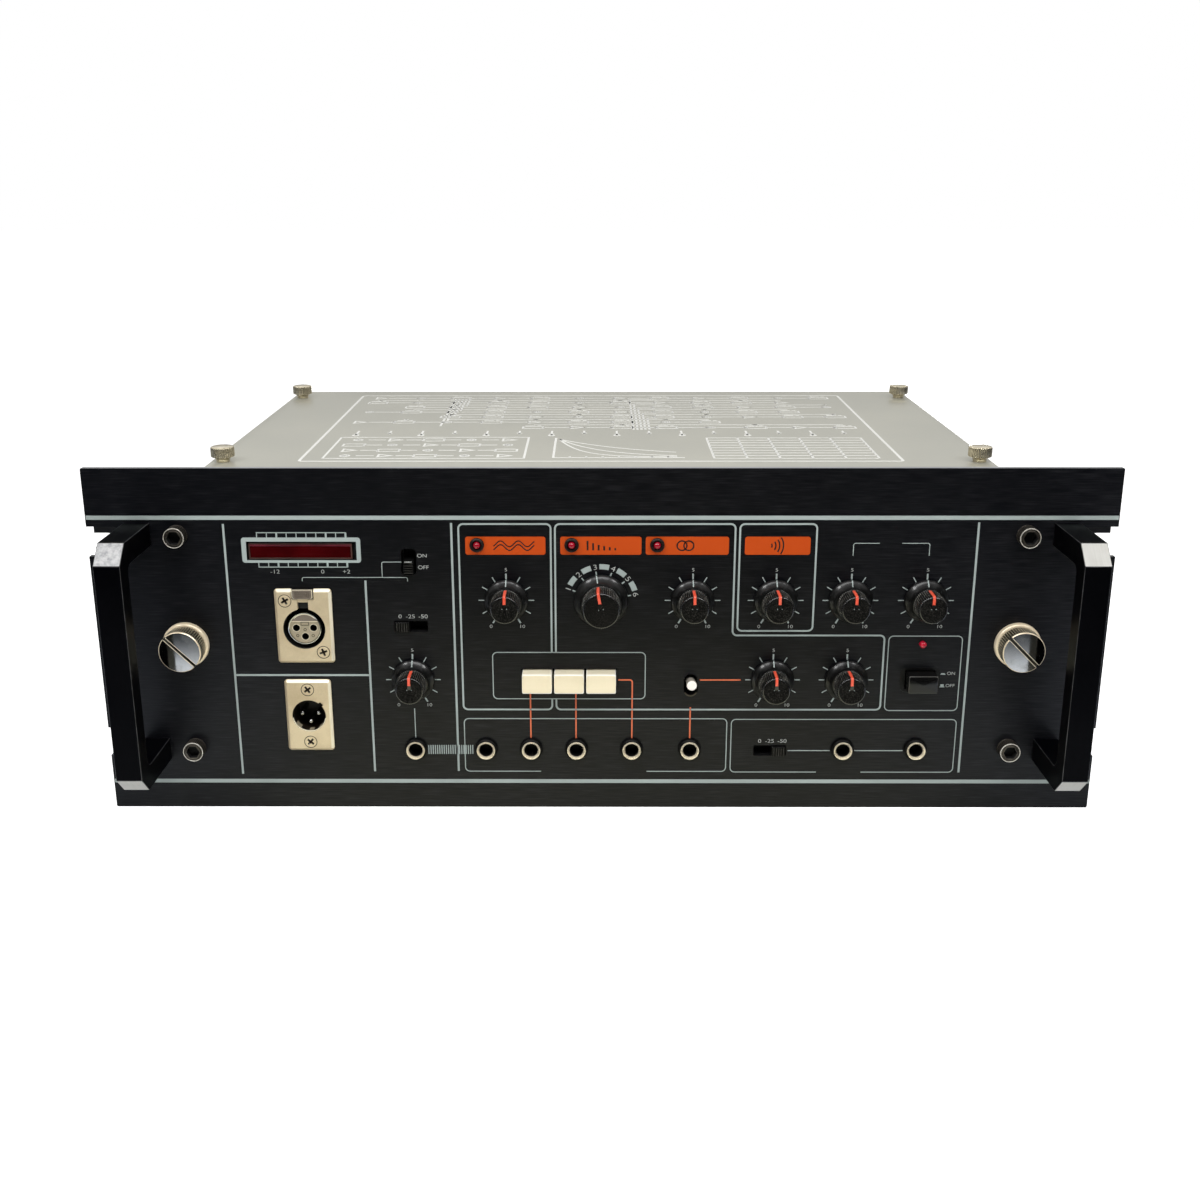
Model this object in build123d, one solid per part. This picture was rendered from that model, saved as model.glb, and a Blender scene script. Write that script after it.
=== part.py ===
from build123d import *
import os
from math import sqrt

# Tape echo unit in a 19-inch rack case: a black front panel with handles, rotary and push controls,
# jacks and two balanced connectors, a sheet-metal tray, a lift-off lid, and inside it the tape deck
# with its loop of tape, the drive, the spring reverb, the main board and the mains transformer.
#
# Millimetres. X runs to the right, Y to the rear and Z up. The origin is the centre of the rack
# plate's rear face, which is the face that meets the rack's rails.

# ---------------------------------------------------------------- driving dimensions

# front plates
panel_width = 482.6
panel_height = 172.0
panel_corner_radius = 0.8
dress_thickness = 3.0
rack_plate_thickness = 2.0
rack_plate_inset = 2.4
rack_spacing_x = 465.1
rack_spacing_z = 101.6
rack_slot_radius = 3.5
notch_height = 14.6
notch_depth = 17.0
notch_corner_radius = 4.5

# handles
handle_inner_inset = 29.8
handle_width = 12.0
handle_height = 120.0
handle_projection = 44.0
handle_grip_depth = 10.0
handle_foot_height = 11.0
handle_chamfer = 8.5
handle_inner_radius = 4.0

# fasteners
side_screw_inset = 42.3
cap_screw_z = 54.0
cap_screw_radius = 3.0
cap_screw_head_radius = 5.0
cap_screw_head_height = 6.0
cap_screw_socket_flats = 5.0
cap_screw_socket_depth = 3.5
cap_screw_tail = 5.0
cap_screw_edge = 0.6
handle_screw_radius = 2.5
handle_screw_head_radius = 4.5
handle_screw_head_height = 2.8
handle_screw_depth = 12.0
thumbscrew_radius = 3.0
thumbscrew_head_radius = 10.0
thumbscrew_head_height = 9.4
thumbscrew_collar_radius = 11.0
thumbscrew_collar_height = 3.0
thumbscrew_slot_width = 1.7
thumbscrew_slot_depth = 1.4
thumbscrew_tail = 12.0
thumbscrew_edge = 0.5
thumbscrew_slot_angle = -45.0
connector_screw_radius = 1.5
connector_screw_head_radius = 2.95
connector_screw_head_depth = 1.5
connector_screw_tail = 4.0
cross_recess_length = 3.2
cross_recess_width = 0.8
cross_recess_depth = 0.7
cross_recess_angle = 20.0

# clearances
running_clearance = 0.05
screw_clearance = 0.1
body_clearance = 0.3
slide_clearance = 0.35

# rounding of rod ends, as a share of their radius
tip_rounding = 0.8

# control positions on the panel, from its centre
upper_row_z = 22.0
lower_row_z = -18.3
jack_row_z = -54.5
lamp_row_z = 49.3
column_input = -90.8
column_chorus = -45.0
column_mode = 0.0
column_sound = 43.4
column_reverb = 82.8
column_bass = 118.3
column_treble = 154.0

# rotary controls
pot_body_radius = 8.2
pot_body_depth = 9.0
bushing_radius = 3.5
bushing_height = 4.0
shaft_radius = 3.0
shaft_seat_depth = 3.0
knob_lift = 0.6
knob_skirt_radius = 10.4
knob_skirt_edge = 1.0
knob_skirt_height = 4.4
knob_cap_radius = 7.0
knob_height = 15.5
knob_cap_edge = 0.5
knob_cavity_radius = 4.6
knob_cavity_height = 5.0
knob_face_thickness = 3.0
knob_throat_step = 0.7
knob_flare_bend = 0.9
mode_body_radius = 12.5
mode_body_depth = 14.0
mode_skirt_radius = 12.9
mode_skirt_height = 5.0
mode_cap_radius = 8.9
mode_knob_height = 16.5

# push buttons
button_width = 14.3
button_height = 10.0
button_pitch = 15.4
button_projection = 6.5
button_travel = 3.0
button_corner_radius = 0.8
button_dish_depth = 0.4
button_bank_depth = 18.0
button_bank_wall = 2.5
button_margin = 0.6
skirt_behind = 1.0
stem_width = 4.0
stem_length = 12.0

# power switch
power_cap_width = 14.0
power_cap_height = 9.0
power_cap_projection = 8.0
power_travel = 4.0
power_recess_width = 19.2
power_recess_height = 12.7
power_recess_radius = 3.0
power_body_depth = 24.0

# repeat lever
lever_slot_width = 6.8
lever_slot_height = 11.6
lever_slot_z = -21.2
lever_angle = 9.5
lever_radius = 2.3
lever_ball_radius = 2.6
lever_projection = 8.0
lever_pivot_depth = 4.2
lever_body_width = 13.0
lever_body_height = 20.0
lever_body_depth = 13.0

# slide switches
direct_slot_z = 40.9
direct_slot_length = 12.8
direct_slot_width = 7.2
direct_slot_radius = 2.0
level_slot_z = 8.8
level_slot_length = 16.0
level_slot_width = 5.6
level_slot_radius = 0.5
output_slot_z = -55.4
slider_length = 7.0
slider_width = 4.6
slider_projection = 2.0
slider_root = 3.0
slide_body_wall = 3.0
slide_body_depth = 9.0

# jacks
jack_columns = [column_input, -56.3, -34.2, -12.0, 15.0, column_sound, column_bass, column_treble]
jack_bore_radius = 3.2
jack_bushing_radius = 4.5
jack_bushing_projection = 3.4
jack_nut_radius = 5.6
jack_nut_height = 2.4
jack_nut_edge = 0.6
jack_body_width = 13.0
jack_body_depth = 24.0
jack_bore_depth = 26.0
jack_bowl = 0.9

# lamps and level meter
lamp_columns = [-58.4, -13.9, 26.3]
lamp_holder_radius = 3.4
lamp_holder_projection = 1.6
lamp_holder_edge = 0.5
lamp_stem_radius = 2.6
lamp_radius = 1.7
lamp_projection = 1.0
lamp_length = 7.0
power_lamp_projection = 2.7
power_lamp_z = 0.0
meter_x = -141.5
meter_z = 46.3
meter_window_width = 51.2
meter_window_height = 9.2
meter_window_recess = 0.3
meter_seat = 1.5

# balanced input socket
socket_x = -141.6
socket_z = 9.3
socket_plate_width = 27.2
socket_plate_height = 37.2
connector_plate_thickness = 2.0
connector_plate_radius = 1.6
connector_plate_edge = 1.3
socket_drop = 1.1
socket_ring_radius = 10.0
socket_barrel_radius = 11.2
socket_cavity_depth = 18.0
socket_floor = 3.0
socket_insert_radius = 8.0
socket_insert_recess = 0.8
socket_screw_x = 8.5
socket_screw_z = 12.9
contact_radius = 1.55
contact_spread = 4.1
contact_drop = 4.3
contact_depth = 12.0
keyway_width = 5.1
latch_width = 9.9
latch_height = 4.7
latch_projection = 0.9
latch_edge = 0.3
latch_tongue_width = 4.4
latch_travel = 0.8
latch_stop_gap = 0.2

# balanced output plug
plug_x = -142.0
plug_z = -36.5
plug_plate_width = 22.5
plug_plate_height = 37.0
plug_ring_radius = 8.1
plug_barrel_radius = 9.8
plug_cavity_depth = 15.0
plug_screw_z = 13.6
plug_key_width = 2.2
plug_key_depth = 1.3
plug_key_angle = 45.0
pin_radius = 1.15
pin_recess = 3.0

# case
case_inset = 30.3
lid_depth = 337.0
lid_gap = 1.0
lid_drop = 19.5
lid_thickness = 1.2
lid_flange_height = 12.0
lid_edge_radius = 0.6
tray_thickness = 1.5
tray_lip = 14.0
tray_flange = 18.0
tray_sill = 9.0
foot_height = 8.0
foot_radius = 9.0
foot_lower_radius = 7.6
foot_inset = 29.5
foot_front_y = 30.0
foot_rear_y = 300.0
lid_screw_inset_x = 6.9
lid_screw_front_y = 102.0
lid_screw_rear_y = 312.0
lid_screw_radius = 2.0
lid_screw_head_radius = 6.3
lid_screw_head_height = 4.8
lid_screw_neck_top_radius = 5.2
lid_screw_neck_radius = 4.0
lid_screw_neck_height = 3.8
lid_screw_tail = 6.0
lid_screw_edge = 0.8

# tape deck
deck_drop = 33.0
deck_thickness = 2.0
deck_flange = 14.0
deck_front_y = 62.0
deck_rear_y = 302.0
tape_thickness = 0.3
tape_width = 6.35
tape_fold_radius = 8.0
tape_line_y = 100.0
tape_half_line = 150.0
tape_bin_front_y = 165.0
tape_bin_rear_y = 280.0
tape_folds = 6
tape_fold_gap = 0.9
guide_height = 9.0
guide_flange = 1.5
head_reaches = [57.0, 92.0, 127.0, 177.0, 217.0]
head_width = 14.0
head_depth = 16.0
head_height = 14.0
head_nose_depth = 3.0

# tape drive
capstan_inset = 38.0
capstan_radius = 4.0
capstan_height = 15.0
capstan_foot = 3.0
bearing_radius = 7.5
bearing_length = 34.0
flywheel_radius = 32.0
flywheel_thickness = 10.0
wheel_edge = 0.8
pinch_radius = 10.0
pinch_height = 10.0
pinch_axle_radius = 2.0
arm_reach = 36.0
arm_rise = 13.55
arm_width = 12.0
arm_thickness = 2.5
arm_post_radius = 3.0
arm_post_foot = 2.0
motor_reach = 72.0
motor_radius = 17.0
motor_length = 30.0
motor_shaft_radius = 1.5
motor_shaft_seat = 8.0
motor_edge_radius = 2.0
pulley_radius = 8.0
belt_thickness = 1.2
belt_width = 5.0

# tank cover
cover_margin = 16.0
cover_corner_radius = 4.0
cover_thickness = 2.0
cover_leg = 8.0
cover_lift = 9.5

# reverb tank
reverb_length = 230.0
reverb_width = 60.0
reverb_height = 26.0
reverb_wall = 1.2
reverb_side_gap = 14.5
reverb_y = 285.0
transducer_length = 18.0
transducer_width = 30.0
spring_radius = 2.6
spring_pitch = 16.0

# board, transformer and mains inlet
board_width = 240.0
board_depth = 110.0
board_thickness = 1.6
board_side_gap = 29.5
board_y = 150.0
board_post_height = 8.0
board_post_radius = 3.0
board_post_inset = 8.0
capacitor_radius = 8.0
capacitor_height = 25.0
capacitor_pitch = 24.0
capacitor_edge = 1.0
transformer_side_gap = 36.5
transformer_y = 235.0
core_width = 66.0
core_depth = 30.0
core_height = 55.0
coil_width = 40.0
coil_depth = 52.0
coil_height = 34.0
inlet_inset = 69.5
inlet_z = -42.0
inlet_flange_width = 31.0
inlet_flange_height = 23.5
inlet_flange_thickness = 2.0
inlet_corner_radius = 4.5
inlet_body_width = 27.0
inlet_body_height = 19.6
inlet_body_depth = 18.0
inlet_wall = 1.5
inlet_floor = 3.0
inlet_pin_width = 2.0
inlet_pin_height = 4.0
inlet_pin_length = 12.0
inlet_pin_spread = 7.0
inlet_pin_drop = 3.0

# ---------------------------------------------------------------- worked-out values

stack = dress_thickness + rack_plate_thickness
panel_face_y = -stack
half_height = panel_height / 2
half_width = panel_width / 2
handle_inner_x = half_width - handle_inner_inset
side_screw_x = half_width - side_screw_inset
lid_width = panel_width - 2 * case_inset
lid_top_z = half_height - lid_drop
lip_top_z = lid_top_z - lid_thickness
tray_half = lid_width / 2 - lid_thickness - body_clearance
tray_bottom_z = -half_height + foot_height
tray_floor_z = tray_bottom_z + tray_thickness
tray_depth = lid_gap + lid_depth - lid_thickness - body_clearance
foot_x = tray_half - foot_inset
inlet_x = tray_half - inlet_inset
reverb_x = reverb_side_gap + reverb_length / 2 - tray_half
board_x = board_side_gap + board_width / 2 - tray_half
transformer_x = tray_half - transformer_side_gap - core_width / 2
lid_screw_x = lid_width / 2 - lid_screw_inset_x
deck_top_z = lip_top_z - deck_drop
deck_under_z = deck_top_z - deck_thickness
tape_bottom_z = deck_top_z + body_clearance
tape_gap = tape_thickness / 2 + body_clearance
capstan_x = tape_half_line - capstan_inset
motor_x = capstan_x - motor_reach
head_columns = [capstan_x - reach for reach in head_reaches]
capstan_y = tape_line_y - tape_gap - capstan_radius
bearing_bottom_z = deck_under_z - bearing_length
flywheel_top_z = bearing_bottom_z - body_clearance
flywheel_middle_z = flywheel_top_z - flywheel_thickness / 2
pinch_y = tape_line_y + tape_gap + pinch_radius
arm_pivot_x = capstan_x - arm_reach
arm_pivot_y = pinch_y + arm_rise
pinch_bottom_z = deck_top_z + body_clearance
arm_bottom_z = pinch_bottom_z + pinch_height + body_clearance

small_knobs = {
    "input_volume": (column_input, lower_row_z),
    "chorus_intensity": (column_chorus, upper_row_z),
    "sound_volume": (column_sound, upper_row_z),
    "reverb_volume": (column_reverb, upper_row_z),
    "bass": (column_bass, upper_row_z),
    "treble": (column_treble, upper_row_z),
    "echo_intensity": (column_reverb, lower_row_z),
    "repeat_rate": (column_bass, lower_row_z),
}
button_names = ["chorus", "echo", "sound"]
button_bank_x = column_mode - button_pitch
button_opening_width = 2 * button_pitch + button_width + 2 * button_margin
button_opening_height = button_height + 2 * button_margin
socket_screws = [(-socket_screw_x, socket_screw_z), (socket_screw_x, -socket_screw_z)]
plug_screws = [(0, plug_screw_z), (0, -plug_screw_z)]
corners = [(-1, -1), (-1, 1), (1, -1), (1, 1)]

# name: (x, z, width, height, corner radius, where the slider stands in its slot: -1, 0 or 1)
slide_switches = {
    "direct_switch": (column_input, direct_slot_z, direct_slot_width, direct_slot_length, direct_slot_radius, -1),
    "input_level": (column_input, level_slot_z, level_slot_length, level_slot_width, level_slot_radius, -1),
    "output_level": (column_reverb, output_slot_z, level_slot_length, level_slot_width, level_slot_radius, 1),
}

# Panel coordinates: local x is right, local y is up, and local z stands out of the panel's face.
panel_plane = Plane(origin=(0, panel_face_y, 0), x_dir=(1, 0, 0), z_dir=(0, -1, 0))


# ---------------------------------------------------------------- helpers


def on_panel(shape, x=0.0, z=0.0):
    """Place a shape drawn in panel coordinates at x, z on the panel."""
    return panel_plane.location * Pos(x, z, 0) * shape


def rod(radius, top, bottom):
    """A cylinder on the local z axis between two heights."""
    return Pos(0, 0, (top + bottom) / 2) * Cylinder(radius, top - bottom)


def block(width, height, top, bottom):
    """A box centred on the local z axis between two heights."""
    return Pos(0, 0, (top + bottom) / 2) * Box(width, height, top - bottom)


def plate(sketch, top, bottom):
    """A flat sketch given thickness between two heights."""
    return Pos(0, 0, bottom) * extrude(sketch, top - bottom)


def save(node, shapes):
    """Write one node: a single solid, or several as a group of separate solids."""
    solids = [solid for shape in shapes for solid in shape.solids()]
    shape = solids[0] if len(solids) == 1 else Compound(children=solids)
    export_step(shape, f"parts/{node}.step")


# ---------------------------------------------------------------- front plates


def screw_holes():
    """The holes that both plates and the tray's front flanges share: cap screws and thumbscrews."""
    cap_hole = Circle(cap_screw_radius + screw_clearance)
    thumb_hole = Circle(thumbscrew_radius + running_clearance)
    holes = [Pos(i * side_screw_x, k * cap_screw_z) * cap_hole for i, k in corners]
    return holes + [Pos(side * side_screw_x, 0) * thumb_hole for side in (-1, 1)]


def handle_screw_points():
    """Where the handle screws stand: the middle of each handle foot."""
    x = handle_inner_x + handle_width / 2
    z = (handle_height - handle_foot_height) / 2
    return [(i * x, k * z) for i, k in corners]


def control_holes():
    """The openings for controls and connectors, the same in both plates."""
    shaft_hole = Circle(bushing_radius + screw_clearance)
    jack_hole = Circle(jack_bushing_radius + screw_clearance)
    lamp_hole = Circle(lamp_stem_radius + running_clearance)
    connector_hole = Circle(connector_screw_radius + screw_clearance)
    holes = [Pos(column_treble, lower_row_z) * power_bezel()]
    holes += [Pos(x, z) * shaft_hole for x, z in small_knobs.values()]
    holes += [Pos(column_mode, upper_row_z) * shaft_hole]
    holes += [Pos(x, jack_row_z) * jack_hole for x in jack_columns]
    holes += [Pos(x, lamp_row_z) * lamp_hole for x in lamp_columns]
    holes += [Pos(column_treble, power_lamp_z) * Circle(lamp_radius + running_clearance)]
    for x, z, width, height, radius, _ in slide_switches.values():
        holes += [Pos(x, z) * RectangleRounded(width, height, radius)]
    holes += [Pos(column_sound, lever_slot_z) * SlotOverall(lever_slot_height, lever_slot_width, rotation=90)]
    holes += [Pos(button_bank_x, lower_row_z) * Rectangle(button_opening_width, button_opening_height)]
    holes += [Pos(socket_x, socket_z - socket_drop) * Circle(socket_barrel_radius + screw_clearance)]
    holes += [Pos(plug_x, plug_z) * Circle(plug_barrel_radius + screw_clearance)]
    holes += [Pos(socket_x + x, socket_z + z) * connector_hole for x, z in socket_screws]
    holes += [Pos(plug_x + x, plug_z + z) * connector_hole for x, z in plug_screws]
    holes += [Pos(x, z) * Circle(handle_screw_radius + screw_clearance) for x, z in handle_screw_points()]
    return holes + screw_holes()


def power_bezel():
    """The outline of the power switch's bezel, which the plates fit round."""
    return RectangleRounded(power_recess_width, power_recess_height, power_recess_radius)


def dress_panel():
    """The visible front plate: deep notches at the rack slots and a window for the level meter."""
    outline = RectangleRounded(panel_width, panel_height, panel_corner_radius)
    notch = RectangleRounded(2 * notch_depth, notch_height, notch_corner_radius)
    notches = [Pos(i * half_width, k * rack_spacing_z / 2) * notch for i, k in corners]
    window = Pos(meter_x, meter_z) * Rectangle(meter_window_width, meter_window_height)
    sketch = outline - control_holes() - notches - window
    return on_panel(plate(sketch, 0, -dress_thickness))


def rack_plate():
    """The plate behind it, with open slots for the rack screws and a light slot for the meter."""
    width = panel_width - 2 * rack_plate_inset
    outline = Rectangle(width, panel_height - 2 * rack_plate_inset)
    slot_end = 2 * rack_slot_radius
    slots = []
    for i, k in corners:
        centre = Pos(i * rack_spacing_x / 2, k * rack_spacing_z / 2)
        mouth = Pos(i * slot_end / 2, 0) * Rectangle(slot_end, 2 * rack_slot_radius)
        slots += [centre * Circle(rack_slot_radius), centre * mouth, centre * Pos(i * slot_end, 0) * mouth]
    light = Rectangle(meter_window_width - 2 * meter_seat, meter_window_height - 2 * meter_seat)
    sketch = outline - control_holes() - slots - Pos(meter_x, meter_z) * light
    return on_panel(plate(sketch, -dress_thickness, -stack))


def handle(side):
    """A C-shaped bar handle with chamfered outer corners, drawn from the side and given its width."""
    half = handle_height / 2
    front_y = panel_face_y - handle_projection
    outline = [
        (panel_face_y, -half),
        (front_y + handle_chamfer, -half),
        (front_y, handle_chamfer - half),
        (front_y, half - handle_chamfer),
        (front_y + handle_chamfer, half),
        (panel_face_y, half),
    ]
    window_depth = handle_projection - handle_grip_depth
    window = RectangleRounded(2 * window_depth, handle_height - 2 * handle_foot_height, handle_inner_radius)
    section = make_face(Polyline(outline, close=True)) - Pos(panel_face_y, 0) * window
    middle_x = side * (handle_inner_x + handle_width / 2)
    side_plane = Plane(origin=(middle_x, 0, 0), x_dir=(0, 1, 0), z_dir=(1, 0, 0))
    bar = side_plane.location * extrude(section, handle_width / 2, both=True)
    holes = []
    for x, z in handle_screw_points():
        hole = rod(handle_screw_radius + running_clearance, handle_screw_depth, -stack)
        holes += [on_panel(hole, x, z)]
    return bar - holes


def panel_fasteners():
    """Socket-headed cap screws through the panel, and the screws that hold the handles from behind."""
    tail = stack + tray_thickness + cap_screw_tail
    head = rod(cap_screw_head_radius, cap_screw_head_height, 0)
    head = chamfer(head.edges().group_by(Axis.Z)[-1], cap_screw_edge)
    socket_radius = cap_screw_socket_flats / sqrt(3)
    socket_floor_z = cap_screw_head_height - cap_screw_socket_depth
    socket_cut = plate(RegularPolygon(socket_radius, 6), cap_screw_head_height, socket_floor_z)
    cap_screw = head + rod(cap_screw_radius, 0, -tail) - socket_cut
    screws = [on_panel(cap_screw, i * side_screw_x, k * cap_screw_z) for i, k in corners]
    handle_screw = rod(handle_screw_radius, handle_screw_depth - body_clearance, -stack)
    handle_screw += rod(handle_screw_head_radius, -stack, -stack - handle_screw_head_height)
    screws += [on_panel(handle_screw, x, z) for x, z in handle_screw_points()]
    return screws


def thumbscrew(side):
    """A slotted, knurled screw that is turned by hand to hold the unit in its rack."""
    top = thumbscrew_collar_height + thumbscrew_head_height
    head = rod(thumbscrew_head_radius, top, thumbscrew_collar_height)
    head = chamfer(head.edges(), thumbscrew_edge)
    slot = block(2 * thumbscrew_head_radius, thumbscrew_slot_width, top, top - thumbscrew_slot_depth)
    screw = head - Rot(0, 0, thumbscrew_slot_angle) * slot
    collar = rod(thumbscrew_collar_radius, thumbscrew_collar_height, 0)
    screw += chamfer(collar.edges().group_by(Axis.Z)[-1], thumbscrew_edge)
    screw += rod(thumbscrew_radius, 0, -stack - tray_thickness - thumbscrew_tail)
    return on_panel(screw, side * side_screw_x, 0)


# ---------------------------------------------------------------- rotary controls


def potentiometer(body_radius, body_depth):
    """A rotary control's body behind the plates and its threaded bushing through them."""
    body = rod(body_radius, -stack, -stack - body_depth) + rod(bushing_radius, bushing_height, -stack)
    bore_end = -stack - shaft_seat_depth - body_clearance
    return body - rod(shaft_radius + running_clearance, bushing_height, bore_end)


def knob(skirt_radius, skirt_height, cap_radius, height):
    """A knob with a flared skirt and a straight cap, on the control's shaft."""
    edge_z = knob_lift + knob_skirt_edge
    top_z = knob_lift + height
    throat_radius = cap_radius + knob_throat_step
    flare = SagittaArc((skirt_radius, edge_z), (throat_radius, edge_z + skirt_height), knob_flare_bend)
    sides = Polyline(
        (throat_radius, edge_z + skirt_height),
        (cap_radius, edge_z + skirt_height),
        (cap_radius, top_z - knob_cap_edge),
        (cap_radius - knob_cap_edge, top_z),
        (0, top_z),
        (0, knob_lift),
        (skirt_radius, knob_lift),
        (skirt_radius, edge_z),
    )
    section = Plane.XZ * make_face(flare + sides)
    body = revolve(section, Axis.Z)
    shaft_top = top_z - knob_face_thickness
    body -= rod(knob_cavity_radius, knob_lift + knob_cavity_height, knob_lift)
    body -= rod(shaft_radius, shaft_top, knob_lift)
    shaft = rod(shaft_radius, shaft_top, -stack - shaft_seat_depth)
    return [body, shaft]


# ---------------------------------------------------------------- push buttons and lever


def button_cap():
    """A cream button with a shallow dish across its face, and the stem that carries it."""
    back = -stack - skirt_behind
    cap = block(button_width, button_height, button_projection, back)
    cap = fillet(cap.edges().filter_by(Axis.Z) + cap.edges().group_by(Axis.Z)[-1], button_corner_radius)
    half_dish = button_height / 2 - button_corner_radius
    dish_radius = (half_dish**2 + button_dish_depth**2) / (2 * button_dish_depth)
    dish = Rot(0, 90, 0) * Cylinder(dish_radius, 2 * button_width)
    cap -= Pos(0, 0, button_projection - button_dish_depth + dish_radius) * dish
    return cap + block(stem_width, stem_width, back, back - stem_length)


def button_bank():
    """The housing behind the three buttons, with a shared pocket and a guide hole for each stem."""
    width = button_opening_width + 2 * button_bank_wall
    height = button_opening_height + 2 * button_bank_wall
    body = block(width, height, -stack, -stack - button_bank_depth)
    pocket_floor = -stack - skirt_behind - button_travel - body_clearance
    body -= block(button_opening_width, button_opening_height, -stack, pocket_floor)
    guide = stem_width + 2 * body_clearance
    for place in (-1, 0, 1):
        hole = block(guide, guide, pocket_floor, -stack - button_bank_depth)
        body -= Pos(place * button_pitch, 0, 0) * hole
    return body


def power_cap():
    """The power button: a deep black cap on a square stem."""
    back = -stack - skirt_behind
    cap = block(power_cap_width, power_cap_height, power_cap_projection, back)
    cap = fillet(cap.edges().filter_by(Axis.Z) + cap.edges().group_by(Axis.Z)[-1], button_corner_radius)
    return cap + block(stem_width, stem_width, back, back - stem_length)


def power_switch_body():
    """The power switch's bezel, flush in the panel, and its body behind the plates."""
    body = plate(power_bezel(), 0, -stack)
    body += block(
        power_recess_width + 2 * button_bank_wall,
        power_recess_height + 2 * button_bank_wall,
        -stack,
        -stack - power_body_depth,
    )
    pocket_floor = -stack - skirt_behind - power_travel - body_clearance
    pocket_width = power_cap_width + 2 * slide_clearance
    pocket_height = power_cap_height + 2 * slide_clearance
    body -= block(pocket_width, pocket_height, 0, pocket_floor)
    guide = stem_width + 2 * body_clearance
    return body - block(guide, guide, pocket_floor, -stack - power_body_depth)


def lever():
    """The short lever that turns in the slot, tilted up at rest. Its ball is on the pivot."""
    pivot_z = -stack - lever_pivot_depth
    reach = lever_projection - pivot_z
    stick = rod(lever_radius, reach, 0)
    stick = fillet(stick.edges().group_by(Axis.Z)[-1], lever_radius * tip_rounding)
    shape = stick + Sphere(lever_ball_radius)
    return Pos(0, 0, pivot_z) * Rot(-lever_angle, 0, 0) * shape


def lever_body():
    """The lever switch's housing behind the plates, whose pocket holds the lever's ball."""
    body = block(lever_body_width, lever_body_height, -stack, -stack - lever_body_depth)
    reach = lever_ball_radius + body_clearance
    pocket = SlotOverall(lever_slot_height, 2 * reach, rotation=90)
    return body - plate(pocket, -stack, -stack - lever_pivot_depth - reach)


def slide_travel(width, height):
    """How far a slider can move along the longer side of its slot."""
    return max(width, height) - slider_length - 2 * slide_clearance


def slide_body(width, height):
    """A slide switch's housing, with a pocket that guides the slider's root."""
    body = block(width + 2 * slide_body_wall, height + 2 * slide_body_wall, -stack, -stack - slide_body_depth)
    across = slider_width + 2 * slide_clearance
    pocket = (across, height) if height > width else (width, across)
    return body - block(*pocket, -stack, -stack - slider_root - body_clearance)


def slider(width, height, stand):
    """The moving cap of a slide switch, at the end of its slot given by stand."""
    upright = height > width
    size = (slider_width, slider_length) if upright else (slider_length, slider_width)
    cap = block(*size, slider_projection, -stack - slider_root)
    offset = stand * slide_travel(width, height) / 2
    return Pos(0, offset, 0) * cap if upright else Pos(offset, 0, 0) * cap


# ---------------------------------------------------------------- jacks, lamps and meter


def jack_body():
    """A jack socket: a bushing through the plates and a square body, with one bore for the plug."""
    top = jack_bushing_projection
    body = rod(jack_bushing_radius, top, -stack)
    body += block(jack_body_width, jack_body_width, -stack, -stack - jack_body_depth)
    bowl = Pos(0, 0, top - jack_bowl / 2) * Cone(jack_bore_radius, jack_bore_radius + jack_bowl, jack_bowl)
    return body - rod(jack_bore_radius, top, top - jack_bore_depth) - bowl


def jack_nut():
    """The ring nut on a jack's bushing."""
    nut = rod(jack_nut_radius, jack_nut_height, 0) - rod(jack_bushing_radius, jack_nut_height, 0)
    return chamfer(nut.edges().group_by(Axis.Z)[-1].sort_by(SortBy.RADIUS)[-1], jack_nut_edge)


def lamp_holder():
    """The black collar that holds a lamp in the panel."""
    ring = rod(lamp_holder_radius, lamp_holder_projection, 0)
    ring = fillet(ring.edges().group_by(Axis.Z)[-1], lamp_holder_edge)
    collar = ring + rod(lamp_stem_radius, 0, -stack)
    return collar - rod(lamp_radius, lamp_holder_projection, -stack)


def lamp(projection):
    """A round lamp with a domed end that stands out of its hole by the given amount."""
    shoulder = projection - lamp_radius
    return Pos(0, 0, shoulder) * Sphere(lamp_radius) + rod(lamp_radius, shoulder, shoulder - lamp_length)


def meter_window():
    """The level meter's red window, seated on the rack plate."""
    return block(meter_window_width, meter_window_height, -meter_window_recess, -dress_thickness)


# ---------------------------------------------------------------- balanced connectors


def connector_screw_hole(top):
    """A countersunk hole in a connector's plate."""
    sink = Pos(0, 0, top - connector_screw_head_depth / 2) * Cone(
        connector_screw_radius, connector_screw_head_radius, connector_screw_head_depth
    )
    return sink + rod(connector_screw_radius + running_clearance, top, 0)


def connector_screw():
    """A countersunk screw with a cross recess, flush with the connector's plate."""
    top = connector_plate_thickness
    head = Pos(0, 0, top - connector_screw_head_depth / 2) * Cone(
        connector_screw_radius, connector_screw_head_radius, connector_screw_head_depth
    )
    shank_top = top - connector_screw_head_depth
    screw = head + rod(connector_screw_radius, shank_top, -stack - connector_screw_tail)
    arm = block(cross_recess_length, cross_recess_width, top, top - cross_recess_depth)
    return screw - Rot(0, 0, cross_recess_angle) * arm - Rot(0, 0, cross_recess_angle + 90) * arm


def connector_screws():
    """The four screws of both connectors."""
    places = [(socket_x + x, socket_z + z) for x, z in socket_screws]
    places += [(plug_x + x, plug_z + z) for x, z in plug_screws]
    return [on_panel(connector_screw(), x, z) for x, z in places]


def connector_plate(width, height):
    """A connector's flange with rounded corners and a bevelled front edge."""
    flange = plate(RectangleRounded(width, height, connector_plate_radius), connector_plate_thickness, 0)
    return chamfer(flange.edges().group_by(Axis.Z)[-1], connector_plate_edge)


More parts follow.
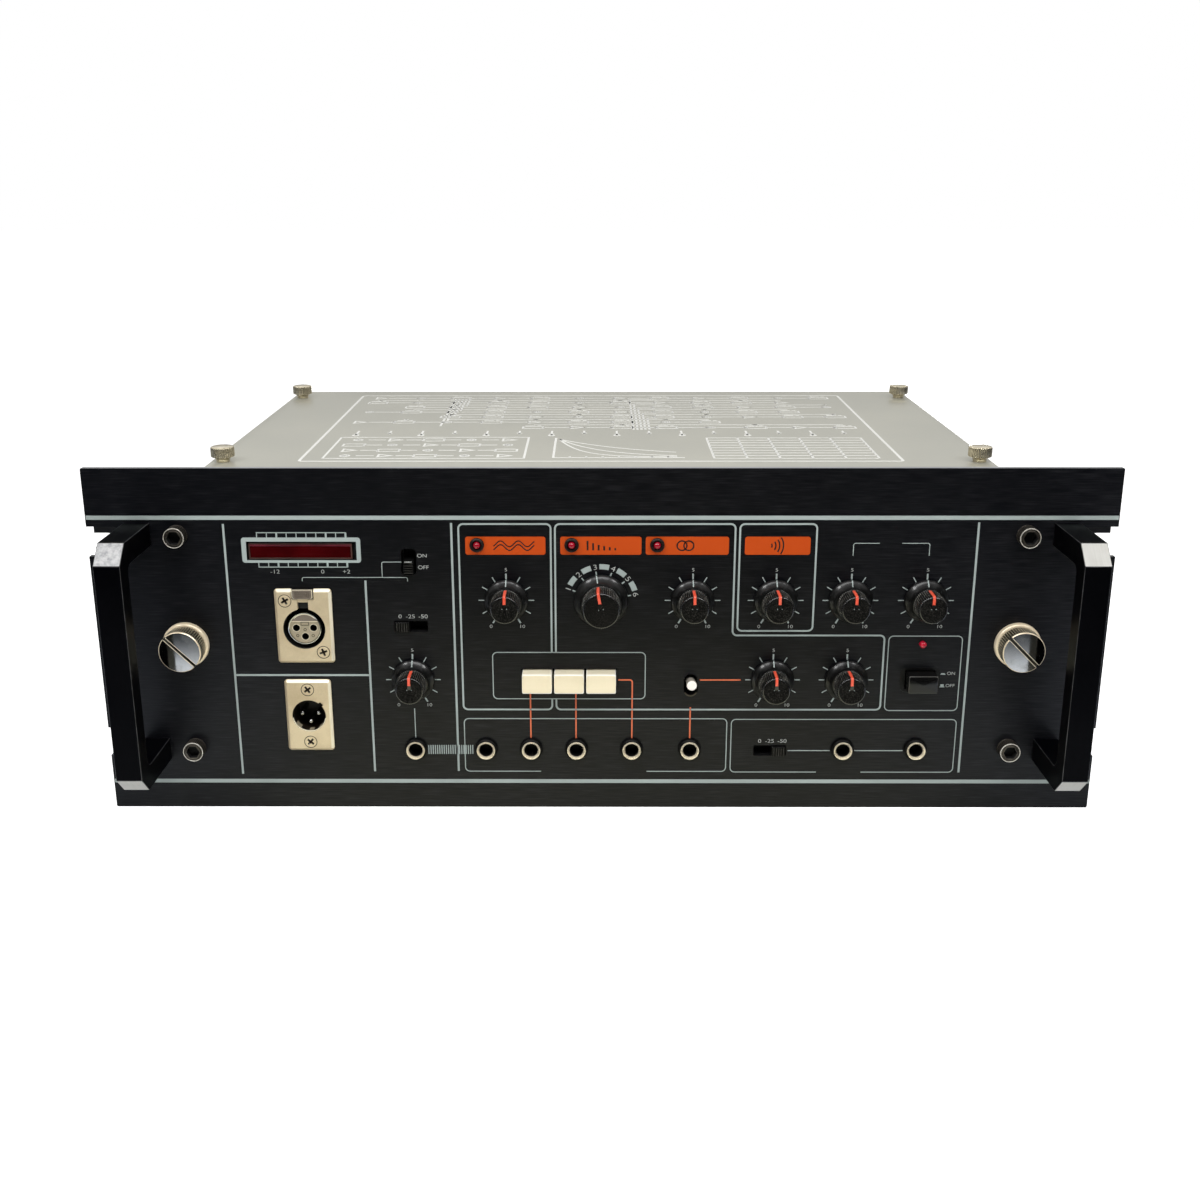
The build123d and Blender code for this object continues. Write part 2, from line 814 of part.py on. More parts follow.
def input_socket_shell():
    """The input socket's flange and barrel, with a ring-shaped cavity, a keyway and the latch's notch."""
    top = connector_plate_thickness
    centre = Pos(0, -socket_drop, 0)
    bottom = top - socket_cavity_depth - socket_floor
    shell = connector_plate(socket_plate_width, socket_plate_height)
    shell += centre * rod(socket_barrel_radius, 0, bottom)
    shell -= centre * rod(socket_ring_radius, top, top - socket_cavity_depth)
    notch_bottom = socket_plate_height / 2 - latch_height
    notch_width = latch_width + 2 * slide_clearance
    notch_floor = notch_bottom - slide_clearance
    notch_top = notch_bottom + 2 * latch_height
    notch = block(notch_width, notch_top - notch_floor, top, 0)
    shell -= Pos(0, (notch_top + notch_floor) / 2, 0) * notch
    shell -= Pos(0, notch_bottom / 2, 0) * block(keyway_width, notch_bottom, top, 0)
    for x, z in socket_screws:
        shell -= Pos(x, z, 0) * connector_screw_hole(top)
    return shell


def input_socket_insert():
    """The insulating insert with three contact holes, standing on the cavity's floor."""
    top = connector_plate_thickness - socket_insert_recess
    insert = rod(socket_insert_radius, top, connector_plate_thickness - socket_cavity_depth)
    hole = rod(contact_radius, top, top - contact_depth)
    for x, z in [(-contact_spread, 0), (contact_spread, 0), (0, -contact_drop)]:
        insert -= Pos(x, z, 0) * hole
    return Pos(0, -socket_drop, 0) * insert


def input_latch():
    """The latch's push tab, in its notch at the top of the flange, and the tongue below it."""
    front = connector_plate_thickness + latch_projection
    back = latch_travel + latch_stop_gap
    tab = block(latch_width, latch_height, front, back)
    tab = fillet(tab.edges().group_by(Axis.Z)[-1], latch_edge)
    tab_bottom = socket_plate_height / 2 - latch_height
    tongue_bottom = socket_ring_radius - socket_drop
    tongue = block(latch_tongue_width, tab_bottom - tongue_bottom, connector_plate_thickness, back)
    tab_place = Pos(0, tab_bottom + latch_height / 2, 0)
    return tab_place * tab + Pos(0, (tab_bottom + tongue_bottom) / 2, 0) * tongue


def output_plug_shell():
    """The output plug's flange and barrel, with a round cavity and its key notch."""
    top = connector_plate_thickness
    shell = connector_plate(plug_plate_width, plug_plate_height)
    shell += rod(plug_barrel_radius, 0, top - plug_cavity_depth - socket_floor)
    shell -= rod(plug_ring_radius, top, top - plug_cavity_depth)
    key = block(2 * plug_key_depth, plug_key_width, top, 0)
    shell -= Rot(0, 0, plug_key_angle) * Pos(plug_ring_radius, 0, 0) * key
    for x, z in plug_screws:
        shell -= Pos(x, z, 0) * connector_screw_hole(top)
    return shell


def output_plug_pins():
    """Three contact pins that stand on the cavity's floor."""
    top = connector_plate_thickness - pin_recess
    pin = rod(pin_radius, top, connector_plate_thickness - plug_cavity_depth)
    pin = fillet(pin.edges().group_by(Axis.Z)[-1], pin_radius * tip_rounding)
    return [Pos(x, z, 0) * pin for x, z in [(-contact_spread, 0), (contact_spread, 0), (0, -contact_drop)]]


# ---------------------------------------------------------------- case


def chassis_tray():
    """The case: floor, sides and rear in one folded sheet, with lips at the top and front flanges."""
    height = lip_top_z - tray_bottom_z
    middle_z = (lip_top_z + tray_bottom_z) / 2
    inner_half = tray_half - tray_thickness
    outer = Pos(0, tray_depth / 2, middle_z) * Box(2 * tray_half, tray_depth, height)
    inner_depth = tray_depth - 2 * tray_thickness
    inner = Pos(0, tray_depth / 2, middle_z) * Box(2 * inner_half, inner_depth, height - 2 * tray_thickness)
    top_depth = tray_depth - tray_lip
    top = Pos(0, top_depth / 2, lip_top_z) * Box(2 * (tray_half - tray_lip), top_depth, 3 * tray_thickness)
    sill_z = tray_bottom_z + tray_sill
    front = block(2 * (tray_half - tray_flange), 3 * tray_thickness, lip_top_z + tray_thickness, sill_z)
    tray = outer - inner - top - front
    flange_cutters = [on_panel(plate(hole, 0, -stack - 2 * tray_thickness)) for hole in screw_holes()]
    lip_hole = rod(lid_screw_radius + screw_clearance, lip_top_z, lip_top_z - 2 * tray_thickness)
    lip_cutters = [Pos(x, y, 0) * lip_hole for x, y in lid_screw_points()]
    cutout = Box(
        inlet_body_width + 2 * screw_clearance, 3 * tray_thickness, inlet_body_height + 2 * screw_clearance
    )
    tray -= flange_cutters + lip_cutters + [Pos(inlet_x, tray_depth, inlet_z) * cutout]
    post = rod(board_post_radius, tray_floor_z + board_post_height, tray_floor_z)
    for x, y in board_post_points():
        tray += Pos(x, y, 0) * post
    return tray


def board_post_points():
    """The posts under the main board's corners."""
    x = board_width / 2 - board_post_inset
    y = board_depth / 2 - board_post_inset
    return [(board_x + i * x, board_y + k * y) for i, k in corners]


def lid_screw_points():
    """The four thumbscrews of the lid."""
    return [(i * lid_screw_x, y) for y in (lid_screw_front_y, lid_screw_rear_y) for i in (-1, 1)]


def top_lid():
    """The lift-off lid: a flat sheet with flanges down its sides and rear."""
    middle_y = lid_gap + lid_depth / 2
    height = lid_thickness + lid_flange_height
    sheet = Pos(0, middle_y, lid_top_z - height / 2) * Box(lid_width, lid_depth, height)
    inner_depth = lid_depth - lid_thickness
    hollow = Box(lid_width - 2 * lid_thickness, inner_depth, lid_flange_height)
    sheet -= Pos(0, lid_gap + inner_depth / 2, lip_top_z - lid_flange_height / 2) * hollow
    upper_edges = sheet.edges().group_by(Axis.Z)[-1] - sheet.edges().group_by(Axis.Y)[0]
    sheet = fillet(upper_edges, lid_edge_radius)
    hole = rod(lid_screw_radius + body_clearance, lid_top_z, lip_top_z)
    return sheet - [Pos(x, y, 0) * hole for x, y in lid_screw_points()]


def lid_screw(x, y):
    """A knurled thumbscrew: round head, tapered neck and a threaded tail through the tray's lip."""
    neck_top = lid_top_z + lid_screw_neck_height
    head_top = neck_top + lid_screw_head_height
    head = rod(lid_screw_head_radius, head_top, neck_top)
    head = fillet(head.edges().group_by(Axis.Z)[-1], lid_screw_edge)
    neck = Cone(lid_screw_neck_radius, lid_screw_neck_top_radius, lid_screw_neck_height)
    screw = head + Pos(0, 0, lid_top_z + lid_screw_neck_height / 2) * neck
    return Pos(x, y, 0) * (screw + rod(lid_screw_radius, lid_top_z, lip_top_z - lid_screw_tail))


def rubber_feet():
    """Four round feet under the tray."""
    foot = Cone(foot_lower_radius, foot_radius, foot_height)
    middle_z = tray_bottom_z - foot_height / 2
    return [Pos(i * foot_x, y, middle_z) * foot for y in (foot_front_y, foot_rear_y) for i in (-1, 1)]


def mains_inlet():
    """The mains inlet in the rear wall: a flanged shell with three flat pins in its cavity."""
    top = inlet_flange_thickness
    floor_z = inlet_floor - inlet_body_depth
    shell = plate(RectangleRounded(inlet_flange_width, inlet_flange_height, inlet_corner_radius), top, 0)
    shell += block(inlet_body_width, inlet_body_height, 0, -inlet_body_depth)
    shell -= block(inlet_body_width - 2 * inlet_wall, inlet_body_height - 2 * inlet_wall, top, floor_z)
    pin = block(inlet_pin_width, inlet_pin_height, floor_z + inlet_pin_length, floor_z)
    places = [(-inlet_pin_spread, -inlet_pin_drop), (0, 0), (inlet_pin_spread, -inlet_pin_drop)]
    pins = [Pos(x, z, 0) * pin for x, z in places]
    rear = Plane(origin=(inlet_x, tray_depth, inlet_z), x_dir=(-1, 0, 0), z_dir=(0, 1, 0))
    return [rear.location * shape for shape in [shell] + pins]


# ---------------------------------------------------------------- tape deck


def tape_deck():
    """The deck plate between the tray's side walls, with the capstan's long bearing under it."""
    half = tray_half - tray_thickness
    depth = deck_rear_y - deck_front_y
    middle_y = (deck_rear_y + deck_front_y) / 2
    height = deck_thickness + deck_flange
    deck = Pos(0, middle_y, deck_top_z - height / 2) * Box(2 * half, depth, height)
    hollow = Box(2 * (half - deck_thickness), depth, deck_flange)
    deck -= Pos(0, middle_y, deck_under_z - deck_flange / 2) * hollow
    deck += Pos(capstan_x, capstan_y, 0) * rod(bearing_radius, deck_under_z, bearing_bottom_z)
    bore = rod(capstan_radius + running_clearance, deck_top_z, bearing_bottom_z)
    post_hole = rod(arm_post_radius + running_clearance, deck_top_z, deck_under_z)
    return deck - Pos(capstan_x, capstan_y, 0) * bore - Pos(arm_pivot_x, arm_pivot_y, 0) * post_hole


def tape_outline():
    """The loop's course: straight past the heads, then in loose folds across the bin."""
    fold_width = 2 * tape_half_line / (tape_folds + tape_fold_gap * (tape_folds - 1))
    points = [(-tape_half_line, tape_line_y), (tape_half_line, tape_line_y)]
    x = tape_half_line
    for fold in range(tape_folds):
        far_x = x - fold_width
        points += [(x, tape_bin_rear_y), (far_x, tape_bin_rear_y)]
        x = far_x - fold_width * tape_fold_gap
        if fold < tape_folds - 1:
            points += [(far_x, tape_bin_front_y), (x, tape_bin_front_y)]
    return points


def tape_loop():
    """The endless tape, standing on its edge just above the deck."""
    outline = make_face(Polyline(tape_outline(), close=True))
    outer = fillet(offset(outline, tape_thickness / 2, kind=Kind.INTERSECTION).vertices(), tape_fold_radius)
    inner = offset(outer, -tape_thickness)
    return plate(outer - inner, tape_bottom_z + tape_width, tape_bottom_z)


def tape_guides():
    """Flanged guide posts where the loop turns in and out of the line past the heads."""
    radius = tape_fold_radius - tape_thickness - body_clearance
    inset = tape_fold_radius - tape_thickness / 2
    post = rod(radius, deck_top_z + guide_height, deck_top_z)
    top = rod(radius + guide_flange, deck_top_z + guide_height + guide_flange, deck_top_z + guide_height)
    return [
        Pos(side * (tape_half_line - inset), tape_line_y + inset, 0) * (post + top) for side in (-1, 1)
    ]


def tape_heads():
    """Erase, record and playback heads: screened blocks with rounded noses against the tape."""
    nose_y = tape_line_y - tape_gap
    heads = []
    for x in head_columns:
        body_depth = head_depth - head_nose_depth
        shape = Pos(0, -head_nose_depth - body_depth / 2) * Rectangle(head_width, body_depth)
        shape += make_face(
            ThreePointArc((-head_width / 2, -head_nose_depth), (0, 0), (head_width / 2, -head_nose_depth))
            + Line((head_width / 2, -head_nose_depth), (-head_width / 2, -head_nose_depth))
        )
        heads += [Pos(x, nose_y, 0) * plate(shape, deck_top_z + head_height, deck_top_z)]
    return heads


def tank_cover():
    """The clear cover over the folded tape, on four legs."""
    width = 2 * (tape_half_line + cover_margin)
    front_y = tape_bin_front_y - cover_margin
    rear_y = tape_bin_rear_y + cover_margin
    middle_y = (front_y + rear_y) / 2
    depth = rear_y - front_y
    bottom = deck_top_z + cover_lift
    cover = plate(RectangleRounded(width, depth, cover_corner_radius), bottom + cover_thickness, bottom)
    for i, k in corners:
        leg = block(cover_leg, cover_leg, bottom, deck_top_z)
        cover += Pos(i * (width - cover_leg) / 2, k * (depth - cover_leg) / 2, 0) * leg
    return Pos(0, middle_y, 0) * cover


# ---------------------------------------------------------------- tape drive


def capstan_flywheel():
    """The capstan's shaft and the flywheel at its lower end."""
    bottom = flywheel_top_z - flywheel_thickness
    wheel = rod(flywheel_radius, flywheel_top_z, bottom)
    wheel = chamfer(wheel.edges(), wheel_edge)
    shaft = rod(capstan_radius, deck_top_z + capstan_height, bottom - capstan_foot)
    return Pos(capstan_x, capstan_y, 0) * (wheel + shaft)


def drive_motor():
    """The motor, hung from the deck by its upper face, with a bearing bore for its shaft."""
    bottom = deck_under_z - motor_length
    body = rod(motor_radius, deck_under_z, bottom)
    body = fillet(body.edges().group_by(Axis.Z)[0], motor_edge_radius)
    body -= rod(motor_shaft_radius + running_clearance, bottom + motor_shaft_seat + body_clearance, bottom)
    return Pos(motor_x, capstan_y, 0) * body


def motor_pulley():
    """The motor's shaft and the pulley that carries the belt."""
    half = flywheel_thickness / 2
    pulley = rod(pulley_radius, flywheel_middle_z + half, flywheel_middle_z - half)
    pulley = chamfer(pulley.edges(), wheel_edge)
    shaft_top = deck_under_z - motor_length + motor_shaft_seat
    shaft = rod(motor_shaft_radius, shaft_top, flywheel_middle_z)
    return Pos(motor_x, capstan_y, 0) * (pulley + shaft)


def belt_outline(extra):
    """The belt's course round both pulleys, a given distance outside them."""
    large = Pos(capstan_x, capstan_y) * Circle(flywheel_radius + extra)
    small = Pos(motor_x, capstan_y) * Circle(pulley_radius + extra)
    return make_hull(large.edges() + small.edges())


def drive_belt():
    """The flat belt from the motor's pulley to the flywheel."""
    outer = belt_outline(body_clearance + belt_thickness)
    band = outer - belt_outline(body_clearance)
    return plate(band, flywheel_middle_z + belt_width / 2, flywheel_middle_z - belt_width / 2)


def pinch_roller():
    """The rubber roller that presses the tape on the capstan."""
    roller = rod(pinch_radius, pinch_bottom_z + pinch_height, pinch_bottom_z)
    roller -= rod(pinch_axle_radius + running_clearance, pinch_bottom_z + pinch_height, pinch_bottom_z)
    return Pos(capstan_x, pinch_y, 0) * roller


def pinch_arm():
    """The arm over the roller, with the roller's axle and the post that it swings on."""
    ends = [(arm_pivot_x, arm_pivot_y), (capstan_x, pinch_y)]
    outline = make_hull([edge for x, y in ends for edge in (Pos(x, y) * Circle(arm_width / 2)).edges()])
    arm = plate(outline, arm_bottom_z + arm_thickness, arm_bottom_z)
    arm += Pos(capstan_x, pinch_y, 0) * rod(pinch_axle_radius, arm_bottom_z, pinch_bottom_z)
    post = rod(arm_post_radius, arm_bottom_z, deck_under_z - arm_post_foot)
    return arm + Pos(arm_pivot_x, arm_pivot_y, 0) * post


# ---------------------------------------------------------------- reverb, board and transformer


def reverb_tank():
    """The open steel pan of the spring reverb and the transducer block at each end."""
    top = tray_floor_z + reverb_height
    pan = block(reverb_length, reverb_width, top, tray_floor_z)
    inner_length = reverb_length - 2 * reverb_wall
    pan -= block(inner_length, reverb_width - 2 * reverb_wall, top, tray_floor_z + reverb_wall)
    end_x = reverb_length / 2 - reverb_wall - transducer_length / 2
    transducer = block(transducer_length, transducer_width, top - reverb_wall, tray_floor_z + reverb_wall)
    shapes = [pan] + [Pos(side * end_x, 0, 0) * transducer for side in (-1, 1)]
    return [Pos(reverb_x, reverb_y, 0) * shape for shape in shapes]


def reverb_springs():
    """The long springs between the transducers, as closed tubes of their outer size."""
    length = reverb_length - 2 * reverb_wall - 2 * transducer_length
    spring = Rot(0, 90, 0) * Cylinder(spring_radius, length)
    middle_z = tray_floor_z + reverb_height / 2
    return [Pos(reverb_x, reverb_y + side * spring_pitch / 2, middle_z) * spring for side in (-1, 1)]


def main_board():
    """The main circuit board on its posts, with its tall capacitors."""
    bottom = tray_floor_z + board_post_height
    top = bottom + board_thickness
    board = block(board_width, board_depth, top, bottom)
    capacitor = rod(capacitor_radius, top + capacitor_height, top)
    capacitor = fillet(capacitor.edges().group_by(Axis.Z)[-1], capacitor_edge)
    row_x = board_width / 2 - capacitor_pitch
    capacitors = [Pos(row_x, k * capacitor_pitch, 0) * capacitor for k in (-1, 0, 1)]
    return [Pos(board_x, board_y, 0) * shape for shape in [board] + capacitors]


def power_transformer():
    """The mains transformer: a stack of laminations and the coil through it."""
    core = block(core_width, core_depth, tray_floor_z + core_height, tray_floor_z)
    coil_bottom = tray_floor_z + (core_height - coil_height) / 2
    coil = block(coil_width, coil_depth, coil_bottom + coil_height, coil_bottom)
    return Pos(transformer_x, transformer_y, 0) * (core + coil)


# ---------------------------------------------------------------- write every node

os.makedirs("parts", exist_ok=True)

save("dress_panel", [dress_panel()])
save("rack_plate", [rack_plate()])
save("panel_handles", [handle(-1), handle(1)])
save("panel_fasteners", panel_fasteners())
save("left_thumbscrew", [thumbscrew(-1)])
save("right_thumbscrew", [thumbscrew(1)])

pots = [on_panel(potentiometer(pot_body_radius, pot_body_depth), x, z) for x, z in small_knobs.values()]
pots += [on_panel(potentiometer(mode_body_radius, mode_body_depth), column_mode, upper_row_z)]
save("potentiometers", pots)
for name, (x, z) in small_knobs.items():
    shapes = knob(knob_skirt_radius, knob_skirt_height, knob_cap_radius, knob_height)
    save(f"{name}_knob", [on_panel(shape, x, z) for shape in shapes])
mode_shapes = knob(mode_skirt_radius, mode_skirt_height, mode_cap_radius, mode_knob_height)
save("mode_knob", [on_panel(shape, column_mode, upper_row_z) for shape in mode_shapes])

for place, name in enumerate(button_names):
    save(f"{name}_button", [on_panel(button_cap(), button_bank_x + (place - 1) * button_pitch, lower_row_z)])
save("power_button", [on_panel(power_cap(), column_treble, lower_row_z)])
push_bodies = [on_panel(button_bank(), button_bank_x, lower_row_z)]
push_bodies += [on_panel(power_switch_body(), column_treble, lower_row_z)]
save("push_switch_bodies", push_bodies)
save("repeat_lever", [on_panel(lever(), column_sound, lever_slot_z)])
slide_bodies = [on_panel(lever_body(), column_sound, lever_slot_z)]
for name, (x, z, width, height, _, stand) in slide_switches.items():
    slide_bodies += [on_panel(slide_body(width, height), x, z)]
    save(f"{name}_slider", [on_panel(slider(width, height, stand), x, z)])
save("small_switch_bodies", slide_bodies)

save("jack_bodies", [on_panel(jack_body(), x, jack_row_z) for x in jack_columns])
save("jack_nuts", [on_panel(jack_nut(), x, jack_row_z) for x in jack_columns])
save("lamp_holders", [on_panel(lamp_holder(), x, lamp_row_z) for x in lamp_columns])
lamps = [on_panel(lamp(lamp_holder_projection + lamp_projection), x, lamp_row_z) for x in lamp_columns]
lamps += [on_panel(lamp(power_lamp_projection), column_treble, power_lamp_z)]
save("lamps", lamps)
save("meter_window", [on_panel(meter_window(), meter_x, meter_z)])

save("input_socket_shell", [on_panel(input_socket_shell(), socket_x, socket_z)])
save("input_socket_insert", [on_panel(input_socket_insert(), socket_x, socket_z)])
save("input_latch", [on_panel(input_latch(), socket_x, socket_z)])
save("output_plug_shell", [on_panel(output_plug_shell(), plug_x, plug_z)])
save("output_plug_pins", [on_panel(pin, plug_x, plug_z) for pin in output_plug_pins()])
save("connector_screws", connector_screws())

save("chassis_tray", [chassis_tray()])
save("top_lid", [top_lid()])
for number, (x, y) in enumerate(lid_screw_points(), start=1):
    save(f"lid_screw_{number}", [lid_screw(x, y)])
save("rubber_feet", rubber_feet())
save("mains_inlet", mains_inlet())

save("tape_deck", [tape_deck()])
save("tape_loop", [tape_loop()])
save("tape_guides", tape_guides())
save("tape_heads", tape_heads())
save("tank_cover", [tank_cover()])
save("capstan_flywheel", [capstan_flywheel()])
save("drive_motor", [drive_motor()])
save("motor_pulley", [motor_pulley()])
save("drive_belt", [drive_belt()])
save("pinch_roller", [pinch_roller()])
save("pinch_arm", [pinch_arm()])

save("reverb_tank", reverb_tank())
save("reverb_springs", reverb_springs())
save("main_board", main_board())
save("power_transformer", [power_transformer()])
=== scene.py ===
# %% [markdown]
# # Dressing a rack-mounted tape echo
# The construction model gives every solid its place. This lesson gives them their looks: brushed
# black plates, printed dials, knurled metal, moulded knobs. The frame is loaded first, because
# every later size is read from it.

import math

import bmesh
import bpy
import numpy as np
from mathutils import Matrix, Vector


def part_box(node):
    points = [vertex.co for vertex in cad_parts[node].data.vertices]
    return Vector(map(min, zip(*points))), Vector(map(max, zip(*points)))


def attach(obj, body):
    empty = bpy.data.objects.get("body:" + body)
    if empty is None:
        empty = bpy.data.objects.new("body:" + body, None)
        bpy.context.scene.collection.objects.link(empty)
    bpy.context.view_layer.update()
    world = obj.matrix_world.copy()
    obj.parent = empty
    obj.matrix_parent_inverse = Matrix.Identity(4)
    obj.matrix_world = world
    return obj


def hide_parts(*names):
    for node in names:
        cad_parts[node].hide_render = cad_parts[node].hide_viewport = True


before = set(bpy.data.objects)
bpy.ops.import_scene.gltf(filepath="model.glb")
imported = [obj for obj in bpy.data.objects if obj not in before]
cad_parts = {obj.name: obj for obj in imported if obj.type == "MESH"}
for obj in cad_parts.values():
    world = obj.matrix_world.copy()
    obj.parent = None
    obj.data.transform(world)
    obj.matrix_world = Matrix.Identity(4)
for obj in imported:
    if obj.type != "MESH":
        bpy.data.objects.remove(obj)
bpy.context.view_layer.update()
scene = bpy.context.scene
MM = 0.001

# %% [markdown]
# ## The camera
# The unit is seen from a little above its front, close enough for clear perspective. A camera is a
# place, three angles and a focal length; the small shift centres the unit without tilting the view.

# %% Camera
camera_data = bpy.data.cameras.new("front_camera")
camera_data.sensor_width = 36.0
camera_data.lens = 41.278
camera_data.shift_x, camera_data.shift_y = 0.008267, -0.015564
camera = bpy.data.objects.new("front_camera", camera_data)
camera.location = (-0.001633, -0.627411, 0.221248)
camera.rotation_euler = [math.radians(angle) for angle in (73.0395, 0.0751, 0.3097)]
scene.collection.objects.link(camera)
scene.camera = camera
scene.view_settings.view_transform = "Standard"
print("camera", tuple(round(value, 3) for value in camera.location))

# %% [markdown]
# ## Shapes as arrays
# A surface is a grid of points: the rows follow one parameter, the columns another. The same small
# set of makers (turned bodies, ribbons, slabs) gives nearly every piece here, so each is a function
# that returns points and quads as whole arrays. Modelling by hand would give the same surfaces but
# not their exact radii.

# %% Grids, turned bodies and paths
def grid_faces(rows, columns, wrap_rows=False, wrap_columns=False):
    """Quads of a grid stored row after row: a point, its neighbour, the one above that, the one
    above itself. A wrapped direction joins its last line to its first."""
    row = np.arange(rows if wrap_rows else rows - 1)[:, None]
    column = np.arange(columns if wrap_columns else columns - 1)[None, :]
    here, above, beside = row * columns, (row + 1) % rows * columns, (column + 1) % columns
    quads = np.broadcast_arrays(here + column, here + beside, above + beside, above + column)
    return np.stack(quads, -1).reshape(-1, 4)


def turned(profile, columns=96, teeth=0, depth=0.0, ring=False):
    """A turned body: profile point (radius, height) goes round as (radius cos a, radius sin a,
    height). A third value, a share s, knurls it: the radius loses
    s * depth * (1 - cos(teeth a)) / 2."""
    profile = np.array([(*point, 0.0)[:3] for point in profile], float)
    angle = np.linspace(0, 2 * math.pi, columns, endpoint=False)
    radius = profile[:, :1] - profile[:, 2:] * depth * (1 - np.cos(teeth * angle)) / 2
    height = np.broadcast_to(profile[:, 1:2], radius.shape)
    points = np.stack((radius * np.cos(angle), radius * np.sin(angle), height), -1)
    return points.reshape(-1, 3), grid_faces(len(profile), columns, ring, True)


def rounded(corners, radius, steps=6):
    """A closed path with its corners rounded. Each corner's arc has its centre on the corner's
    bisector, radius / sin(half angle) away, and runs between the two points of tangency."""
    corner = np.array(corners, float)
    back = np.roll(corner, 1, 0) - corner
    ahead = np.roll(corner, -1, 0) - corner
    back /= np.linalg.norm(back, axis=1)[:, None]
    ahead /= np.linalg.norm(ahead, axis=1)[:, None]
    half = np.arccos(np.clip((back * ahead).sum(1), -1, 1))[:, None] / 2
    bisector = (back + ahead) / np.linalg.norm(back + ahead, axis=1)[:, None]
    centre = corner + bisector * radius / np.sin(half)
    start = corner + back * radius / np.tan(half) - centre
    end = corner + ahead * radius / np.tan(half) - centre
    first = np.arctan2(start[:, 1], start[:, 0])[:, None]
    sweep = np.arctan2(end[:, 1], end[:, 0])[:, None] - first
    sweep = (sweep + math.pi) % (2 * math.pi) - math.pi
    angle = first + sweep * np.linspace(0, 1, steps)
    arc = centre[:, None] + radius * np.stack((np.cos(angle), np.sin(angle)), -1)
    return arc.reshape(-1, 2)


def box_path(left, right, bottom, top, radius=0.0):
    """A rectangle's path, with rounded corners where a radius is given."""
    corners = [(left, bottom), (right, bottom), (right, top), (left, top)]
    return rounded(corners, max(radius, 0.01))


def ribbon(path, width, low, high, closed=False):
    """A flat strip along a path. Each point moves sideways along its mitre, the sum of both
    neighbouring normals divided by one plus their product, by half the width either way."""
    path = np.array(path, float)
    step = np.roll(path, -1, 0) - path
    step /= np.maximum(np.linalg.norm(step, axis=1), 1e-9)[:, None]
    normal = np.stack((-step[:, 1], step[:, 0]), -1)
    before = np.roll(normal, 1, 0)
    if not closed:
        normal[-1], before[0] = normal[-2], normal[0]
    mitre = (normal + before) / (1 + (normal * before).sum(1))[:, None] * width / 2
    rows = [(path + mitre, low), (path - mitre, low), (path - mitre, high), (path + mitre, high)]
    points = np.vstack([np.column_stack((flat, np.full(len(path), z))) for flat, z in rows])
    faces = grid_faces(4, len(path), True, closed)
    if not closed:
        ends = np.arange(4) * len(path)
        faces = np.vstack((faces, ends[::-1], ends + len(path) - 1))
    return points, faces


def slab(outline, low, high, hole=None):
    """A flat plate inside a closed path, or between it and a hole's path of as many points."""
    outline = np.array(outline, float)
    inner = np.broadcast_to(outline.mean(0), outline.shape) if hole is None else hole
    rows = [(inner, low), (outline, low), (outline, high), (inner, high)]
    points = np.vstack([np.column_stack((flat, np.full(len(outline), z))) for flat, z in rows])
    return points, grid_faces(4, len(outline), hole is not None, True)


def block(width, height, low, high, x=0.0, up=0.0, radius=0.0):
    """An upright block on its plane, with rounded corners where a radius is given."""
    path = box_path(x - width / 2, x + width / 2, up - height / 2, up + height / 2, radius)
    return slab(path, low, high)


def arc_path(x, up, radius, start, end, steps=10):
    """Points on an arc between two angles, counted clockwise from straight up."""
    angle = np.radians(np.linspace(start, end, steps))
    return np.column_stack((x + radius * np.sin(angle), up + radius * np.cos(angle)))


print("a square ribbon has", len(ribbon(box_path(0, 1, 0, 1), 0.1, 0, 1, True)[1]), "quads")

# %% [markdown]
# ## From shapes to pieces
# A shape is drawn in millimetres on its own plane: across, up, and out of the surface. Two small
# matrices carry that plane to the panel or to the lid. A piece then becomes one mesh whose place is
# in its points, riding on the body that moves it and named for what it is.

# %% Placing shapes and making meshes
PANEL = np.array(((1, 0, 0), (0, 0, 1), (0, -1, 0)), float)
LEVEL = np.eye(3)
WELD, SLIVER, CUTTER_WELD = 1e-6, 1e-7, 1e-4
FLAT = math.radians(0.5)
face_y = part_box("dress_panel")[0].y


def placed(shape, x, up, axes=PANEL, origin=(0.0, face_y, 0.0), turn=0.0):
    """Turn a shape by turn degrees on its own plane, move it to x, up, and carry it to the frame:
    metres = origin + (across, up, out) times the plane's axes times 0.001."""
    points, faces = shape
    cosine, sine = math.cos(math.radians(turn)), math.sin(math.radians(turn))
    spin = np.array(((cosine, sine, 0), (-sine, cosine, 0), (0, 0, 1)))
    moved = points @ spin + (x, up, 0)
    return np.array(origin) + moved @ axes * MM, faces


def joined(shapes):
    """Several shapes as one: their points stacked, their faces renumbered to match."""
    starts = np.cumsum([0] + [len(points) for points, _ in shapes[:-1]])
    faces = [face for (_, own), start in zip(shapes, starts) for face in (own + start).tolist()]
    return np.vstack([points for points, _ in shapes]), faces


def close_up(shell, weld):
    """Points that meet become one, and every face turns outwards."""
    bmesh.ops.remove_doubles(shell, verts=shell.verts, dist=weld)
    bmesh.ops.dissolve_degenerate(shell, edges=shell.edges, dist=SLIVER)
    bmesh.ops.recalc_face_normals(shell, faces=shell.faces)


def make_whole(shell, weld):
    """Points that meet become one, and triangles that lie flat together become one face."""
    bmesh.ops.remove_doubles(shell, verts=shell.verts, dist=weld)
    bmesh.ops.dissolve_limit(shell, angle_limit=FLAT, verts=shell.verts, edges=shell.edges)


